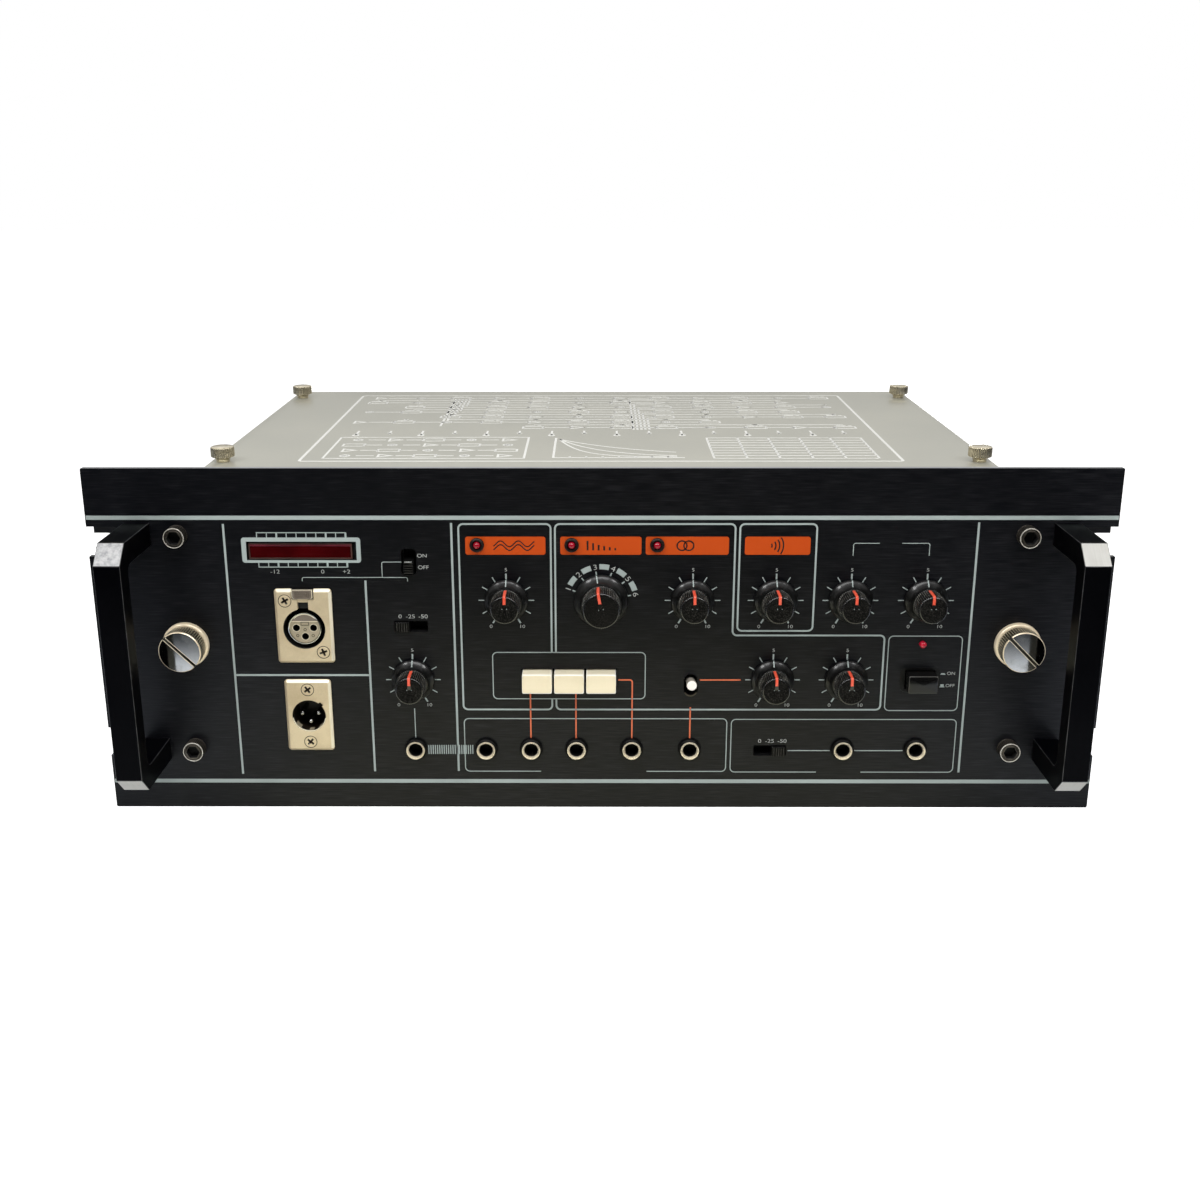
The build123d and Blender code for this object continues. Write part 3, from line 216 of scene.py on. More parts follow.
def meshed(name, points, faces, mend=close_up, weld=WELD):
    """A new object of points and faces, once mend has worked on its shell."""
    mesh = bpy.data.meshes.new(name)
    mesh.from_pydata(points.tolist(), [], faces)
    shell = bmesh.new()
    shell.from_mesh(mesh)
    mend(shell, weld)
    shell.to_mesh(mesh)
    shell.free()
    item = bpy.data.objects.new(name, mesh)
    scene.collection.objects.link(item)
    return item


def baked(item):
    """The points and triangles of an object with its modifiers applied, read as whole arrays."""
    mesh = bpy.data.meshes.new_from_object(
        item.evaluated_get(bpy.context.evaluated_depsgraph_get()))
    mesh.calc_loop_triangles()
    points = np.empty(len(mesh.vertices) * 3)
    faces = np.empty(len(mesh.loop_triangles) * 3, np.int32)
    mesh.vertices.foreach_get("co", points)
    mesh.loop_triangles.foreach_get("vertices", faces)
    return points.reshape(-1, 3), faces.reshape(-1, 3)


def carved(shape, cutters):
    """A shape with others cut out of it, one Boolean modifier each, read back as triangles."""
    items = [meshed("blank", points, np.asarray(faces).tolist(), weld=CUTTER_WELD)
             for points, faces in (shape, *cutters)]
    for cutter in items[1:]:
        cut = items[0].modifiers.new("cut", "BOOLEAN")
        cut.operation, cut.solver, cut.object = "DIFFERENCE", "EXACT", cutter
    result = baked(items[0])
    for item in items:
        bpy.data.objects.remove(item)
    return result


print("the panel's face is at y =", round(face_y, 4))

# %% Pieces and dressed copies
def finished(item, body, finishes, replaces=(), slot=None, choose=None, bevel=0.0, angle=35,
             edge=-1):
    """Shading, finishes and edges of a piece, the body that it rides on, and the CAD nodes that it
    replaces, which are hidden.
    choose(centres in mm, normals) gives each face the number of its finish. bevel is in millimetres
    and rounds edges sharper than the angle; they take the finish of number edge, or with -1 that of
    the faces beside them. slot is not used."""
    mesh = item.data
    for material in finishes:
        mesh.materials.append(material)
    if choose:
        count = len(mesh.polygons)
        centres, normals = np.empty(count * 3), np.empty(count * 3)
        mesh.polygons.foreach_get("center", centres)
        mesh.polygons.foreach_get("normal", normals)
        numbers = choose(centres.reshape(-1, 3) / MM, normals.reshape(-1, 3))
        mesh.polygons.foreach_set("material_index", np.asarray(numbers, np.int32))
    mesh.polygons.foreach_set("use_smooth", np.ones(len(mesh.polygons), bool))
    mesh.set_sharp_from_angle(angle=math.radians(angle))
    if bevel:
        round_off = item.modifiers.new("edges", "BEVEL")
        round_off.width, round_off.segments, round_off.material = bevel * MM, 2, edge
        round_off.limit_method, round_off.angle_limit = "ANGLE", math.radians(angle)
        round_off.harden_normals = True
    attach(item, body)
    if replaces:
        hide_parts(*replaces)


def piece(name, body, finishes, shapes, replaces=(), slot=None, **looks):
    """One object from shapes in metres, in place of CAD nodes or beside them. slot is not used."""
    finished(meshed(name, *joined(shapes)), body, finishes, replaces, slot, **looks)


def cad_shape(node):
    """The points and triangles of a CAD node, read as whole arrays."""
    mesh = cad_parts[node].data
    points = np.empty(len(mesh.vertices) * 3, np.float32)
    mesh.vertices.foreach_get("co", points)
    corners = np.empty(len(mesh.loops), np.int32)
    mesh.loops.foreach_get("vertex_index", corners)
    return points.reshape(-1, 3).astype(float), corners.reshape(-1, 3)


def dressed(node, body, finishes, choose=None, bevel=0.2, edge=-1):
    """A finished copy of a CAD node: its loose triangles merged, flat faces made whole again, edges
    rounded. The copy then stands for the node."""
    points, faces = cad_shape(node)
    item = meshed(f"{node}_finished", points, faces.tolist(), make_whole)
    finished(item, body, finishes, (node,), node, choose, bevel, edge=edge)


def extent(node):
    """A node's box in millimetres: its low corner and its high one, as arrays of x, y, z."""
    return [np.array(corner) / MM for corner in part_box(node)]


def middle(node):
    """The middle of a node's box on the panel: x and height in millimetres."""
    low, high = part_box(node)
    return (low.x + high.x) / 2 / MM, (low.z + high.z) / 2 / MM


def stand_out(node):
    """How far a node's front and its back stand out of the panel's face, in millimetres."""
    return [(face_y - corner.y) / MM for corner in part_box(node)]


def outward(centres):
    """How far faces stand out of the panel's face, in millimetres, from their centres."""
    return face_y / MM - centres[:, 1]


def columns_of(node, gap=5.0):
    """Where a node's separate solids stand across the panel: its points' x values in order, split
    wherever two neighbours are more than the gap apart, and the middle of each run."""
    across = np.sort(cad_shape(node)[0][:, 0]) / MM
    runs = np.split(across, np.flatnonzero(np.diff(across) > gap) + 1)
    return [(run[0] + run[-1]) / 2 for run in runs]


print("jacks stand at", [round(x, 1) for x in columns_of("jack_nuts")])

# %% [markdown]
# ## One surface group for every finish
# Paint, anodising, moulded plastic and worn metal differ in numbers more than in kind: a base tone
# and a worn tone, mixed by fine grain and by larger patches, with roughness and relief from the
# same grain. That is one node group, built once. Stretching its coordinates turns round grain into
# the long lines of brushed metal. The shader itself stays in each material.

# %% Surface group
def feed(tree, socket, value):
    """Fill a socket: with another node's output by a link, with anything else as its own value."""
    if isinstance(value, bpy.types.NodeSocket):
        tree.links.new(value, socket)
    else:
        socket.default_value = value


def add_node(tree, kind, inputs=(), **settings):
    """A shader node with its settings made and its inputs fed, each given by name or by number."""
    node = tree.nodes.new(f"ShaderNode{kind}")
    for name, value in settings.items():
        setattr(node, name, value)
    for name, value in dict(inputs).items():
        feed(tree, node.inputs[name], value)
    return node


def maths(tree, operation, first, second):
    """The output of a Math node on two values, each a number or another node's output."""
    return add_node(tree, "Math", {0: first, 1: second}, operation=operation).outputs[0]


def surface_group():
    """Grain = noise of (coordinates * stretch); patch = wide noise, steepened. Mask = grain share *
    (grain - 0.5) + patch share * patch. Colour and roughness move from base to worn by the mask."""
    group = bpy.data.node_groups.new("surface", "ShaderNodeTree")
    numbers = ("Grain Scale", "Patch Scale", "Grain Share", "Patch Share", "Rough", "Rough Spread")
    taken = {"Base": "Color", "Worn": "Color", "Stretch": "Vector",
             **dict.fromkeys(numbers, "Float")}
    given = {"Colour": "Color", "Roughness": "Float", "Height": "Float"}
    for way, sockets in (("INPUT", taken), ("OUTPUT", given)):
        for name, kind in sockets.items():
            group.interface.new_socket(name=name, in_out=way, socket_type=f"NodeSocket{kind}")
    entry = group.nodes.new("NodeGroupInput").outputs
    leave = group.nodes.new("NodeGroupOutput").inputs
    place = add_node(group, "TexCoord").outputs["Object"]
    stretched = add_node(group, "VectorMath", {0: place, 1: entry["Stretch"]}, operation="MULTIPLY")
    noises = ({"Vector": stretched.outputs[0], "Scale": entry["Grain Scale"], "Detail": 3.0},
              {"Vector": place, "Scale": entry["Patch Scale"], "Detail": 5.0})
    grain, wide = (add_node(group, "TexNoise", noise).outputs["Fac"] for noise in noises)
    steep = add_node(group, "MapRange", {"Value": wide, "From Min": 0.38, "From Max": 0.68})
    centred = maths(group, "SUBTRACT", grain, 0.5)
    fine = maths(group, "MULTIPLY", centred, entry["Grain Share"])
    patch = maths(group, "MULTIPLY", steep.outputs["Result"], entry["Patch Share"])
    both = maths(group, "ADD", fine, patch)
    mask = add_node(group, "Clamp", {"Value": both}).outputs[0]
    blend = add_node(group, "Mix", {"Factor": mask, 6: entry["Base"], 7: entry["Worn"]},
                     data_type="RGBA")
    uneven = maths(group, "MULTIPLY", both, entry["Rough Spread"])
    feed(group, leave["Colour"], blend.outputs[2])
    feed(group, leave["Roughness"], maths(group, "ADD", uneven, entry["Rough"]))
    feed(group, leave["Height"], grain)
    return group


def rgb(red, green, blue):
    """A screen colour from 0 to 255 as the linear colour that shaders work in."""
    value = np.array((red, green, blue)) / 255
    linear = np.where(value <= 0.04045, value / 12.92, ((value + 0.055) / 1.055) ** 2.4)
    return (*linear.tolist(), 1.0)


surface = surface_group()
FINE, BRUSHED_ACROSS = (1, 1, 1), (0.012, 1, 1)


def finish(name, base, worn, rough=0.5, metallic=0.0, grain=1500.0, stretch=FINE, patch=30.0,
           grain_share=0.3, patch_share=0.3, spread=0.1, bump=0.05, depth=0.05, **sockets):
    """A material: the surface group feeds colour, roughness and bump; what is even over the whole
    surface is set on the shader. depth is the relief's height in millimetres."""
    material = bpy.data.materials.new(name)
    material.use_nodes = True
    tree = material.node_tree
    tone = add_node(tree, "Group", {
        "Base": rgb(*base), "Worn": rgb(*worn), "Stretch": stretch, "Grain Scale": grain,
        "Patch Scale": patch, "Grain Share": grain_share, "Patch Share": patch_share,
        "Rough": rough, "Rough Spread": spread}, node_tree=surface).outputs
    relief = add_node(tree, "Bump", {"Strength": bump, "Distance": depth * MM,
                                     "Height": tone["Height"]})
    fed = {"Base Color": tone["Colour"], "Roughness": tone["Roughness"], "Metallic": metallic,
           "Normal": relief.outputs["Normal"], **sockets}
    for socket, value in fed.items():
        feed(tree, tree.nodes["Principled BSDF"].inputs[socket.replace("_", " ")], value)
    return material


print("surface group takes", [socket.name for socket in surface.interface.items_tree][:4], "...")

# %% [markdown]
# ## The studio
# A pale floor, an even room, a lamp high on each side, a softer one overhead and a low one behind
# that shows the rear wall. The background is white only to the camera and in reflections, so that
# it never floods the black panel with light. The room and the floor are dark in front of the unit,
# as they are around anyone who looks at it, and that is what gives polished metal its dark patches
# and the panel its darker top. Reflections of the floor are faintly blue at the sides and warm in
# the middle, as in a room with windows.

# %% Floor
floor_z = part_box("rubber_feet")[0].z
floor_points, floor_faces = slab(box_path(-6000, 6000, -6000, 6000), -10, 0)
floor_mesh = bpy.data.meshes.new("studio_floor")
floor_mesh.from_pydata((floor_points * MM + (0, 0, floor_z)).tolist(), [], floor_faces.tolist())
floor = bpy.data.objects.new("studio_floor", floor_mesh)
scene.collection.objects.link(floor)
floor_finish = bpy.data.materials.new("studio_floor")
floor_finish.use_nodes = True
floor_tree = floor_finish.node_tree
CAMERA_GLOW, FLOOR_SHADE = 0.76, 0.95
BLUE_LOSS, GREEN_LOSS, WARM_LOSS = 0.2, 0.13, 0.22


def fade(tree, ray_kind, axis_value, start, end, dim):
    """1 for every ray but one kind; for that kind it rises smoothly from dim to 1 as the value goes
    from start to end."""
    ramp = add_node(tree, "MapRange", {"Value": axis_value, "From Min": start, "From Max": end,
                                       "To Min": dim}, interpolation_type="SMOOTHSTEP")
    lost = maths(tree, "SUBTRACT", 1.0, ramp.outputs["Result"])
    return maths(tree, "SUBTRACT", 1.0, maths(tree, "MULTIPLY", lost, ray_kind))


def axis(tree, coordinates, name):
    """One part, X, Y or Z, of a coordinate output."""
    place = add_node(tree, "TexCoord").outputs[coordinates]
    return add_node(tree, "SeparateXYZ", {0: place}).outputs[name]


floor_rays = add_node(floor_tree, "LightPath").outputs
mirrored = floor_rays["Is Glossy Ray"]
floor_x, floor_y = (axis(floor_tree, "Object", name) for name in "XY")
near = fade(floor_tree, mirrored, floor_y, start=-0.29, end=-0.19, dim=0.05)
level = maths(floor_tree, "MULTIPLY", near, FLOOR_SHADE)
sideways = maths(floor_tree, "ABSOLUTE", floor_x, 0.0)
aside = fade(floor_tree, 1.0, sideways, start=0.1, end=0.3, dim=0.0)
cold = maths(floor_tree, "MULTIPLY", mirrored, aside)
warm = maths(floor_tree, "SUBTRACT", mirrored, cold)
tint = add_node(floor_tree, "CombineColor")
losses = ((cold, BLUE_LOSS), (cold, GREEN_LOSS), (warm, WARM_LOSS))
for channel, (share, loss) in zip(tint.inputs, losses):
    lost = maths(floor_tree, "MULTIPLY", maths(floor_tree, "MULTIPLY", share, loss), level)
    feed(floor_tree, channel, maths(floor_tree, "SUBTRACT", level, lost))
floor_looks = {
    "Roughness": 1.0, "Specular IOR Level": 0.0, "Emission Color": (1, 1, 1, 1),
    "Emission Strength": maths(floor_tree, "MULTIPLY", floor_rays["Is Camera Ray"], CAMERA_GLOW),
    "Base Color": tint.outputs[0],
}
for socket, value in floor_looks.items():
    feed(floor_tree, floor_tree.nodes["Principled BSDF"].inputs[socket], value)
floor_mesh.materials.append(floor_finish)
print("floor at", round(floor_z, 4), "m")

# %% World and lamps
world = bpy.data.worlds.new("studio")
scene.world = world
world.use_nodes = True
world_tree = world.node_tree
room = world_tree.nodes["Background"]
room.inputs["Color"].default_value = (1.0, 0.985, 0.96, 1)
room.inputs["Strength"].default_value = 0.3
rays = add_node(world_tree, "LightPath").outputs
glossy = rays["Is Glossy Ray"]
in_sight = maths(world_tree, "MAXIMUM", rays["Is Camera Ray"], glossy)
in_sight = maths(world_tree, "MAXIMUM", in_sight, rays["Is Transmission Ray"])
forward, upward = (axis(world_tree, "Generated", name) for name in "YZ")
ahead = fade(world_tree, glossy, forward, start=-0.35, end=0.25, dim=0.05)
high = fade(world_tree, glossy, upward, start=0.12, end=0.3, dim=0.12)
seen = add_node(world_tree, "Background", {
    "Color": (1, 1, 1, 1), "Strength": maths(world_tree, "MULTIPLY", ahead, high)})
either = add_node(world_tree, "MixShader", {
    "Fac": in_sight, 1: room.outputs[0], 2: seen.outputs[0]})
feed(world_tree, world_tree.nodes["World Output"].inputs["Surface"], either.outputs[0])


def lamp(name, place, aim, width, height, watts):
    """A soft rectangular lamp at a place, turned so that it faces the point it is aimed at."""
    data = bpy.data.lights.new(name, "AREA")
    data.shape, data.size, data.size_y, data.energy = "RECTANGLE", width, height, watts
    item = bpy.data.objects.new(name, data)
    across, along, up = np.array(aim) - np.array(place)
    tilt, heading = math.atan2(math.hypot(across, along), -up), math.atan2(across, along)
    item.location, item.rotation_euler = place, (tilt, 0, -heading)
    item.visible_camera = False
    scene.collection.objects.link(item)


lamp("left_lamp", (-0.8, -0.55, 1.0), (-0.1, 0.0, 0), 0.3, 0.3, 5.0)
lamp("right_lamp", (0.8, -0.6, 0.95), (0.1, 0.0, 0), 0.3, 0.3, 4.2)
lamp("overhead_lamp", (0, -0.45, 0.8), (0, 0.0, 0), 0.7, 0.3, 4.3)
lamp("rear_lamp", (0.2, 1.6, 0.0), (0, 0.35, 0), 0.9, 0.13, 6.0)
print(len(bpy.data.lights), "lamps")

# %% [markdown]
# ## Finishes
# Each finish is named for what it is on the unit. Black anodising is nearly black with a long
# sideways grain; bare cut edges are bright; moulded parts have a fine random texture; plated parts
# are smooth with faint patches of dulling.

# %% Plates and print
anodised = finish(
    "black_brushed_anodising", (5, 6, 11), (44, 44, 47), 0.36, grain=2600, stretch=(0.03, 1, 1),
    patch=7, grain_share=1.9, patch_share=0.2, bump=0.35, depth=0.03, Specular_IOR_Level=0.3)
cut_black = finish("black_cut_edge", (9, 9, 10), (24, 24, 25), patch=80, bump=0.1)
bare_edge = finish("bare_aluminium_edge", (176, 178, 180), (120, 122, 126), 0.35, 0.9, grain=2000,
                   stretch=BRUSHED_ACROSS, patch=60, bump=0.1)
black_plate = finish("black_painted_plate", (20, 20, 22), (44, 44, 46), patch=50, bump=0.2)
ink_grain = dict(grain=3000, grain_share=0.5, bump=0.1)
grey_ink = finish("pale_grey_ink", (168, 180, 177), (146, 157, 154), 0.55, patch=25,
                  patch_share=0.5, **ink_grain)
fine_ink = finish("fine_grey_ink", (184, 188, 184), (148, 152, 150), 0.55, patch=40,
                  patch_share=0.4, **ink_grain)
orange_ink = finish("orange_ink", (196, 75, 16), (188, 66, 10), Specular_IOR_Level=0.15,
                    **ink_grain)
salmon_ink = finish("salmon_line_ink", (224, 118, 80), (196, 96, 64), grain=3000, bump=0.1,
                    Specular_IOR_Level=0.2)
black_ink = finish("black_ink", (30, 17, 10), (44, 28, 18), grain=3000, bump=0.1)
print(len(bpy.data.materials), "materials so far")

# %% Mouldings
knob_gloss = finish("satin_black_skirt", (8, 8, 8), (24, 23, 21), 0.34, grain=1200, patch=70,
                    bump=0.06, Specular_IOR_Level=0.35, Coat_Weight=0.35, Coat_Roughness=0.12)
knob_grain = finish(
    "grained_black_face", (1, 1, 1), (84, 82, 76), 0.55, grain=2400, patch=90, grain_share=1.8,
    patch_share=0.05, bump=0.9, depth=0.14, Specular_IOR_Level=0.12)
knob_shoulder = finish("polished_black_shoulder", (14, 14, 14), (36, 35, 33), 0.2, grain=1200,
                       patch=120, Coat_Weight=1.0, Coat_Roughness=0.07)
# Painted highlight: the ribs' crests take a pale metallic tone that stands in for light glinting on
# them.
rib_crest_painted_highlight = finish(
    "painted_highlight_on_crests", (58, 56, 52), (208, 204, 192), 0.22, 0.6, grain=900, patch=420,
    grain_share=1.4, patch_share=0.5, bump=0.1, Coat_Weight=0.5, Coat_Roughness=0.1)
ring_black = finish("black_nut_oxide", (4, 4, 4), (15, 15, 14), patch=150, bump=0.1,
                    Specular_IOR_Level=0.2)
pointer_red = finish("red_pointer_inlay", (238, 84, 58), (255, 146, 118), 0.3, grain=2500,
                     patch=200, Coat_Weight=0.2)
cream = finish("cream_button_moulding", (250, 238, 204), (236, 220, 180), 0.32, grain=900, patch=45,
               patch_share=0.4, bump=0.03, Coat_Weight=0.1)
# Painted shading: the buttons' tops take their own copy of the cream, toned for the light from
# above.
cream_top_painted_shading = finish("painted_shading_on_button_tops", (246, 236, 208), (232, 222, 192), 0.35, patch=60, bump=0.02)
# Painted highlight: the buttons' rounded edges take a near-white copy of the cream.
cream_edge_painted_highlight = finish("cream_painted_edge_highlight", (255, 252, 240), (250, 240, 216), 0.3, patch=60, bump=0.02)
black_moulding = finish("black_switch_moulding", (7, 7, 7), (24, 24, 23), 0.45, grain=2000,
                        patch=120, grain_share=0.5, bump=0.25, Specular_IOR_Level=0.3)
# Painted shade: a near-black put down holes, sockets and wells where little light reaches.
painted_shade_black = finish("black_painted_shade", (5, 5, 5), (12, 12, 11), 0.7, bump=0.1)
print(len(bpy.data.materials), "materials so far")

# %% Plated metal
chrome = finish("bright_chrome", (240, 238, 232), (196, 192, 182), 0.05, 1.0, grain=700, patch=260,
                patch_share=0.4, spread=0.2, bump=0.03)
warm_nickel = finish("warm_satin_nickel", (232, 214, 178), (200, 180, 144), 0.36, 0.45, patch=60,
                     grain_share=0.5, patch_share=0.7, spread=0.2, bump=0.2)
# Painted highlight: a near-white nickel for bevels, lips and edges, standing in for light that
# catches them.
nickel_painted_highlight = finish("painted_highlight_in_nickel", (255, 246, 220), (240, 226, 192), 0.3, 0.3, patch=90)
# Dark nickel of the cap screws; on the thumbscrews it also darkens the knurl's hollows and the slot
# as painted shade.
dark_nickel_and_painted_shade = finish("nickel_dark_and_painted_shade", (104, 98, 90), (46, 44, 41), 0.3, 0.9, grain=1800,
                     patch=140, grain_share=0.7, patch_share=0.6, spread=0.25, bump=0.3)
knurled = finish("knurled_nickel", (190, 184, 166), (110, 105, 94), 0.34, 0.75, patch=300,
                 grain_share=0.8, patch_share=0.5, bump=0.3)
# Pale plating of the thumbscrews' collar; on the rim round their face it is a painted highlight.
collar_plating_and_rim_highlight = finish("plated_collar_and_painted_rim_highlight", (250, 234, 204), (236, 212, 174), 0.3, 0.3, patch=90)
# Painted highlight: thin bright rings for light on the cap screws' rim and round their socket.
screw_rim_painted_highlight = finish("painted_highlight_on_screw_rim", (240, 236, 224), (184, 176, 160), 0.26, 0.4, grain=900,
                    patch=500, grain_share=0.8, patch_share=0.4, bump=0.1)
jack_plating = finish("plated_jack_mouth", (255, 244, 216), (226, 206, 172), 0.24, 0.45, patch=160,
                      patch_share=0.4, spread=0.15, bump=0.08)
silver = finish("silvered_pin", (200, 200, 198), (140, 138, 134), 0.22, 1.0, patch=200, bump=0.1)
print(len(bpy.data.materials), "materials so far")

# %% [markdown]
# ## Front plates
# Two plates make the front: a brushed black dress panel over a painted rack plate. The panel's
# upper edge has worn bare, while its openings are black inside. Both are dressed copies of their
# CAD nodes; the place and the normal of a face tell which finish it takes.

# %% Dress panel and rack plate
panel_right, _, panel_top = extent("dress_panel")[1]


def face_or_cut(centres, normals):
    """Finish 0 on faces that look forwards or back, 1 on the top edge, 2 inside the openings."""
    cut = np.abs(normals[:, 1]) < 0.5
    top = centres[:, 2] > panel_top - 0.5
    return np.where(cut, np.where(top, 1, 2), 0)


dressed("dress_panel", "case", [anodised, bare_edge, cut_black], face_or_cut)
dressed("rack_plate", "case", [black_plate], bevel=0.15)
print("the panel reaches", round(panel_right, 1), "mm to the right")

# %% [markdown]
# ## Printing on the panel
# Screen print is a film of ink with crisp edges. It could be a texture, but then it would be as
# fine as its pixels only. Here each line is a ribbon a few hundredths of a millimetre thick, so
# that it stays sharp at any distance and catches the light apart from the brushed ground.

# %% Bands, rules and frames
INK_LOW, INK_HIGH = -0.02, 0.03
BAND, RULE, FRAME, THIN, HAIR, HATCH = 2.0, 1.0, 0.85, 0.45, 0.34, 0.52
CORNER, BEND = 2.2, 0.8


def inked(path, width, closed=False):
    """A printed line along a path on the panel."""
    return placed(ribbon(path, width, INK_LOW, INK_HIGH, closed), 0, 0)


def inked_open(corners, width, radius=CORNER):
    """A printed line with rounded corners and two free ends: the closed rounding of its corners,
    less the arcs at the two ends."""
    corners = np.array(corners, float)
    arcs = rounded(corners, radius).reshape(len(corners), -1, 2)[1:-1].reshape(-1, 2)
    return inked(np.vstack((corners[:1], arcs, corners[-1:])), width)


band_end = panel_right - 0.4
print_lines = [inked([(-band_end, up), (band_end, up)], BAND) for up in (62.4, -71.9)]
rules = [(-177.0, 59.4, -68.1), (-111.6, 31.8, -66.7), (-70.2, 59.9, -66.5), (176.2, 60.2, -67.0)]
print_lines += [inked([(x, top), (x, bottom)], RULE) for x, top, bottom in rules]
print_lines += [inked([(-176.4, -16.0), (-111.9, -16.0)], RULE)]

frame_top, frame_foot, group_top, group_foot = 59.4, -33.8, -4.3, -28.2
chorus_left, chorus_right, echo_left, echo_right = -66.9, -23.7, -21.7, 62.8
step_up, step_right = 4.4, 135.6
row_top, row_foot = -38.6, -66.6
bass_x, treble_x, input_x, echo_x = (
    middle(f"{name}_knob")[0] for name in ("bass", "treble", "input_volume", "echo_intensity"))
jack_up = middle("jack_nuts")[1]
jack_columns = columns_of("jack_nuts")
output_left, output_right = jack_columns[-2:]
bracket_up, drop_up = 50.1, 44.0
print_lines += [
    inked_open([(chorus_right, group_top), (chorus_right, frame_top), (chorus_left, frame_top),
                (chorus_left, frame_foot), (chorus_right, frame_foot), (chorus_right, group_foot)],
               FRAME),
    inked_open([(echo_left, group_top), (echo_left, frame_top), (echo_right, frame_top),
                (echo_right, step_up), (step_right, step_up), (step_right, frame_foot),
                (echo_left, frame_foot), (echo_left, group_foot)], FRAME),
    inked(box_path(65.0, 100.9, 6.7, frame_top, CORNER), FRAME, True),
    inked(box_path(137.7, 172.9, -34.2, 4.1, CORNER), THIN, True),
    inked(box_path(-52.2, 21.3, group_foot, group_top, CORNER), THIN, True),
    inked_open([(-29.6, row_foot), (-66.8, row_foot), (-66.8, row_top), (61.4, row_top),
                (61.4, row_foot), (22.5, row_foot)], THIN),
    inked_open([(106.0, -66.9), (63.6, -66.9), (63.6, -38.9), (173.2, -38.9), (173.2, -66.9),
                (128.0, -66.9)], THIN),
    inked_open([(bass_x, drop_up), (bass_x, bracket_up), (130.5, bracket_up)], HAIR, 1.0),
    inked_open([(141.0, bracket_up), (treble_x, bracket_up), (treble_x, drop_up)], HAIR, 1.0),
    inked_open([(-94.2, 40.9), (-103.5, 40.9), (-103.5, 33.3)], HAIR, BEND),
    inked_open([(-141.5, 31.4), (-141.5, 33.3), (-91.6, 33.3), (-91.6, 31.4)], HAIR, BEND),
    inked([(input_x, -33.3), (input_x, -48.6)], THIN),
    inked([(91.6, -55.4), (output_left - 6.0, -55.4)], THIN),
    inked([(output_left + 6.0, -55.4), (output_right - 6.0, -55.4)], THIN),
]
hatch_columns = np.arange(input_x + 6.2, jack_columns[1] - 6.0, 1.08)
print_lines += [inked([(x, jack_up + 1.9), (x, jack_up - 2.9)], HATCH) for x in hatch_columns]
print(len(print_lines), "printed lines;", len(hatch_columns), "in the hatched band")

# %% [markdown]
# ## Dials, numbers and the meter's scale
# A dial is the same tick repeated round a circle. The numbers are plain figures from Blender's own
# font, turned into flat solids of the same thickness as the ink: a font curve is filled, converted
# to a mesh, scaled to its measured height and centred.

# %% Lettering and dials
FONT_THIN = -0.007


def lettering(text, height, x, up, turn=0.0, stretch=1.25):
    """Plain figures as a film of ink: the font's outline, stretched sideways and scaled so that its
    box has the given height, centred on x, up. Points above the middle make the film's top."""
    curve = bpy.data.curves.new("figures", "FONT")
    curve.body, curve.extrude, curve.offset = text, 0.1, FONT_THIN
    item = bpy.data.objects.new("figures", curve)
    scene.collection.objects.link(item)
    points, faces = baked(item)
    bpy.data.objects.remove(item)
    low, high = points.min(0), points.max(0)
    flat = (points[:, :2] - (low + high)[:2] / 2) * (stretch, 1) * height / (high - low)[1]
    film = np.where(points[:, 2] > 0, INK_HIGH, INK_LOW)
    return placed((np.column_stack((flat, film)), faces), x, up, turn=turn)


def ray(x, up, degrees, inner, outer, width):
    """A tick: a line along a radius, at an angle counted clockwise from straight up."""
    sine, cosine = math.sin(math.radians(degrees)), math.cos(math.radians(degrees))
    return inked([(x + r * sine, up + r * cosine) for r in (inner, outer)], width)


small_knobs = [f"{name}_knob" for name in (
    "input_volume", "chorus_intensity", "sound_volume", "reverb_volume", "bass", "treble",
    "echo_intensity", "repeat_rate")]
dial_inner, dial_outer, dial_figure = 10.4, 13.2, 15.1
figures = []
for node in small_knobs:
    x, up = middle(node)
    for degrees in range(-150, 151, 30):
        width = 0.75 if degrees in (-150, 0, 150) else 0.45
        print_lines.append(ray(x, up, degrees, dial_inner, dial_outer, width))
    for text, degrees in (("0", -150), ("5", 0), ("10", 150)):
        across, high = arc_path(x, up, dial_figure, degrees, degrees, 1)[0]
        figures.append(lettering(text, 1.6, across, high))

mode_x, mode_up = middle("mode_knob")
mode_arc, mode_ticks = 16.6, range(-70, 81, 30)
print_lines += [ray(mode_x, mode_up, degrees, inner=11.0, outer=14.4, width=0.6)
                for degrees in mode_ticks]
print_lines += [inked(arc_path(mode_x, mode_up, mode_arc, degrees + 7.0, degrees + 23.0), 2.6)
                for degrees in mode_ticks[:-1]]
for number, degrees in enumerate(mode_ticks, start=1):
    across, high = arc_path(mode_x, mode_up, mode_arc, degrees, degrees, 1)[0]
    figures.append(lettering(str(number), 2.5, across, high, -degrees))
print(len(figures), "figures on the dials")

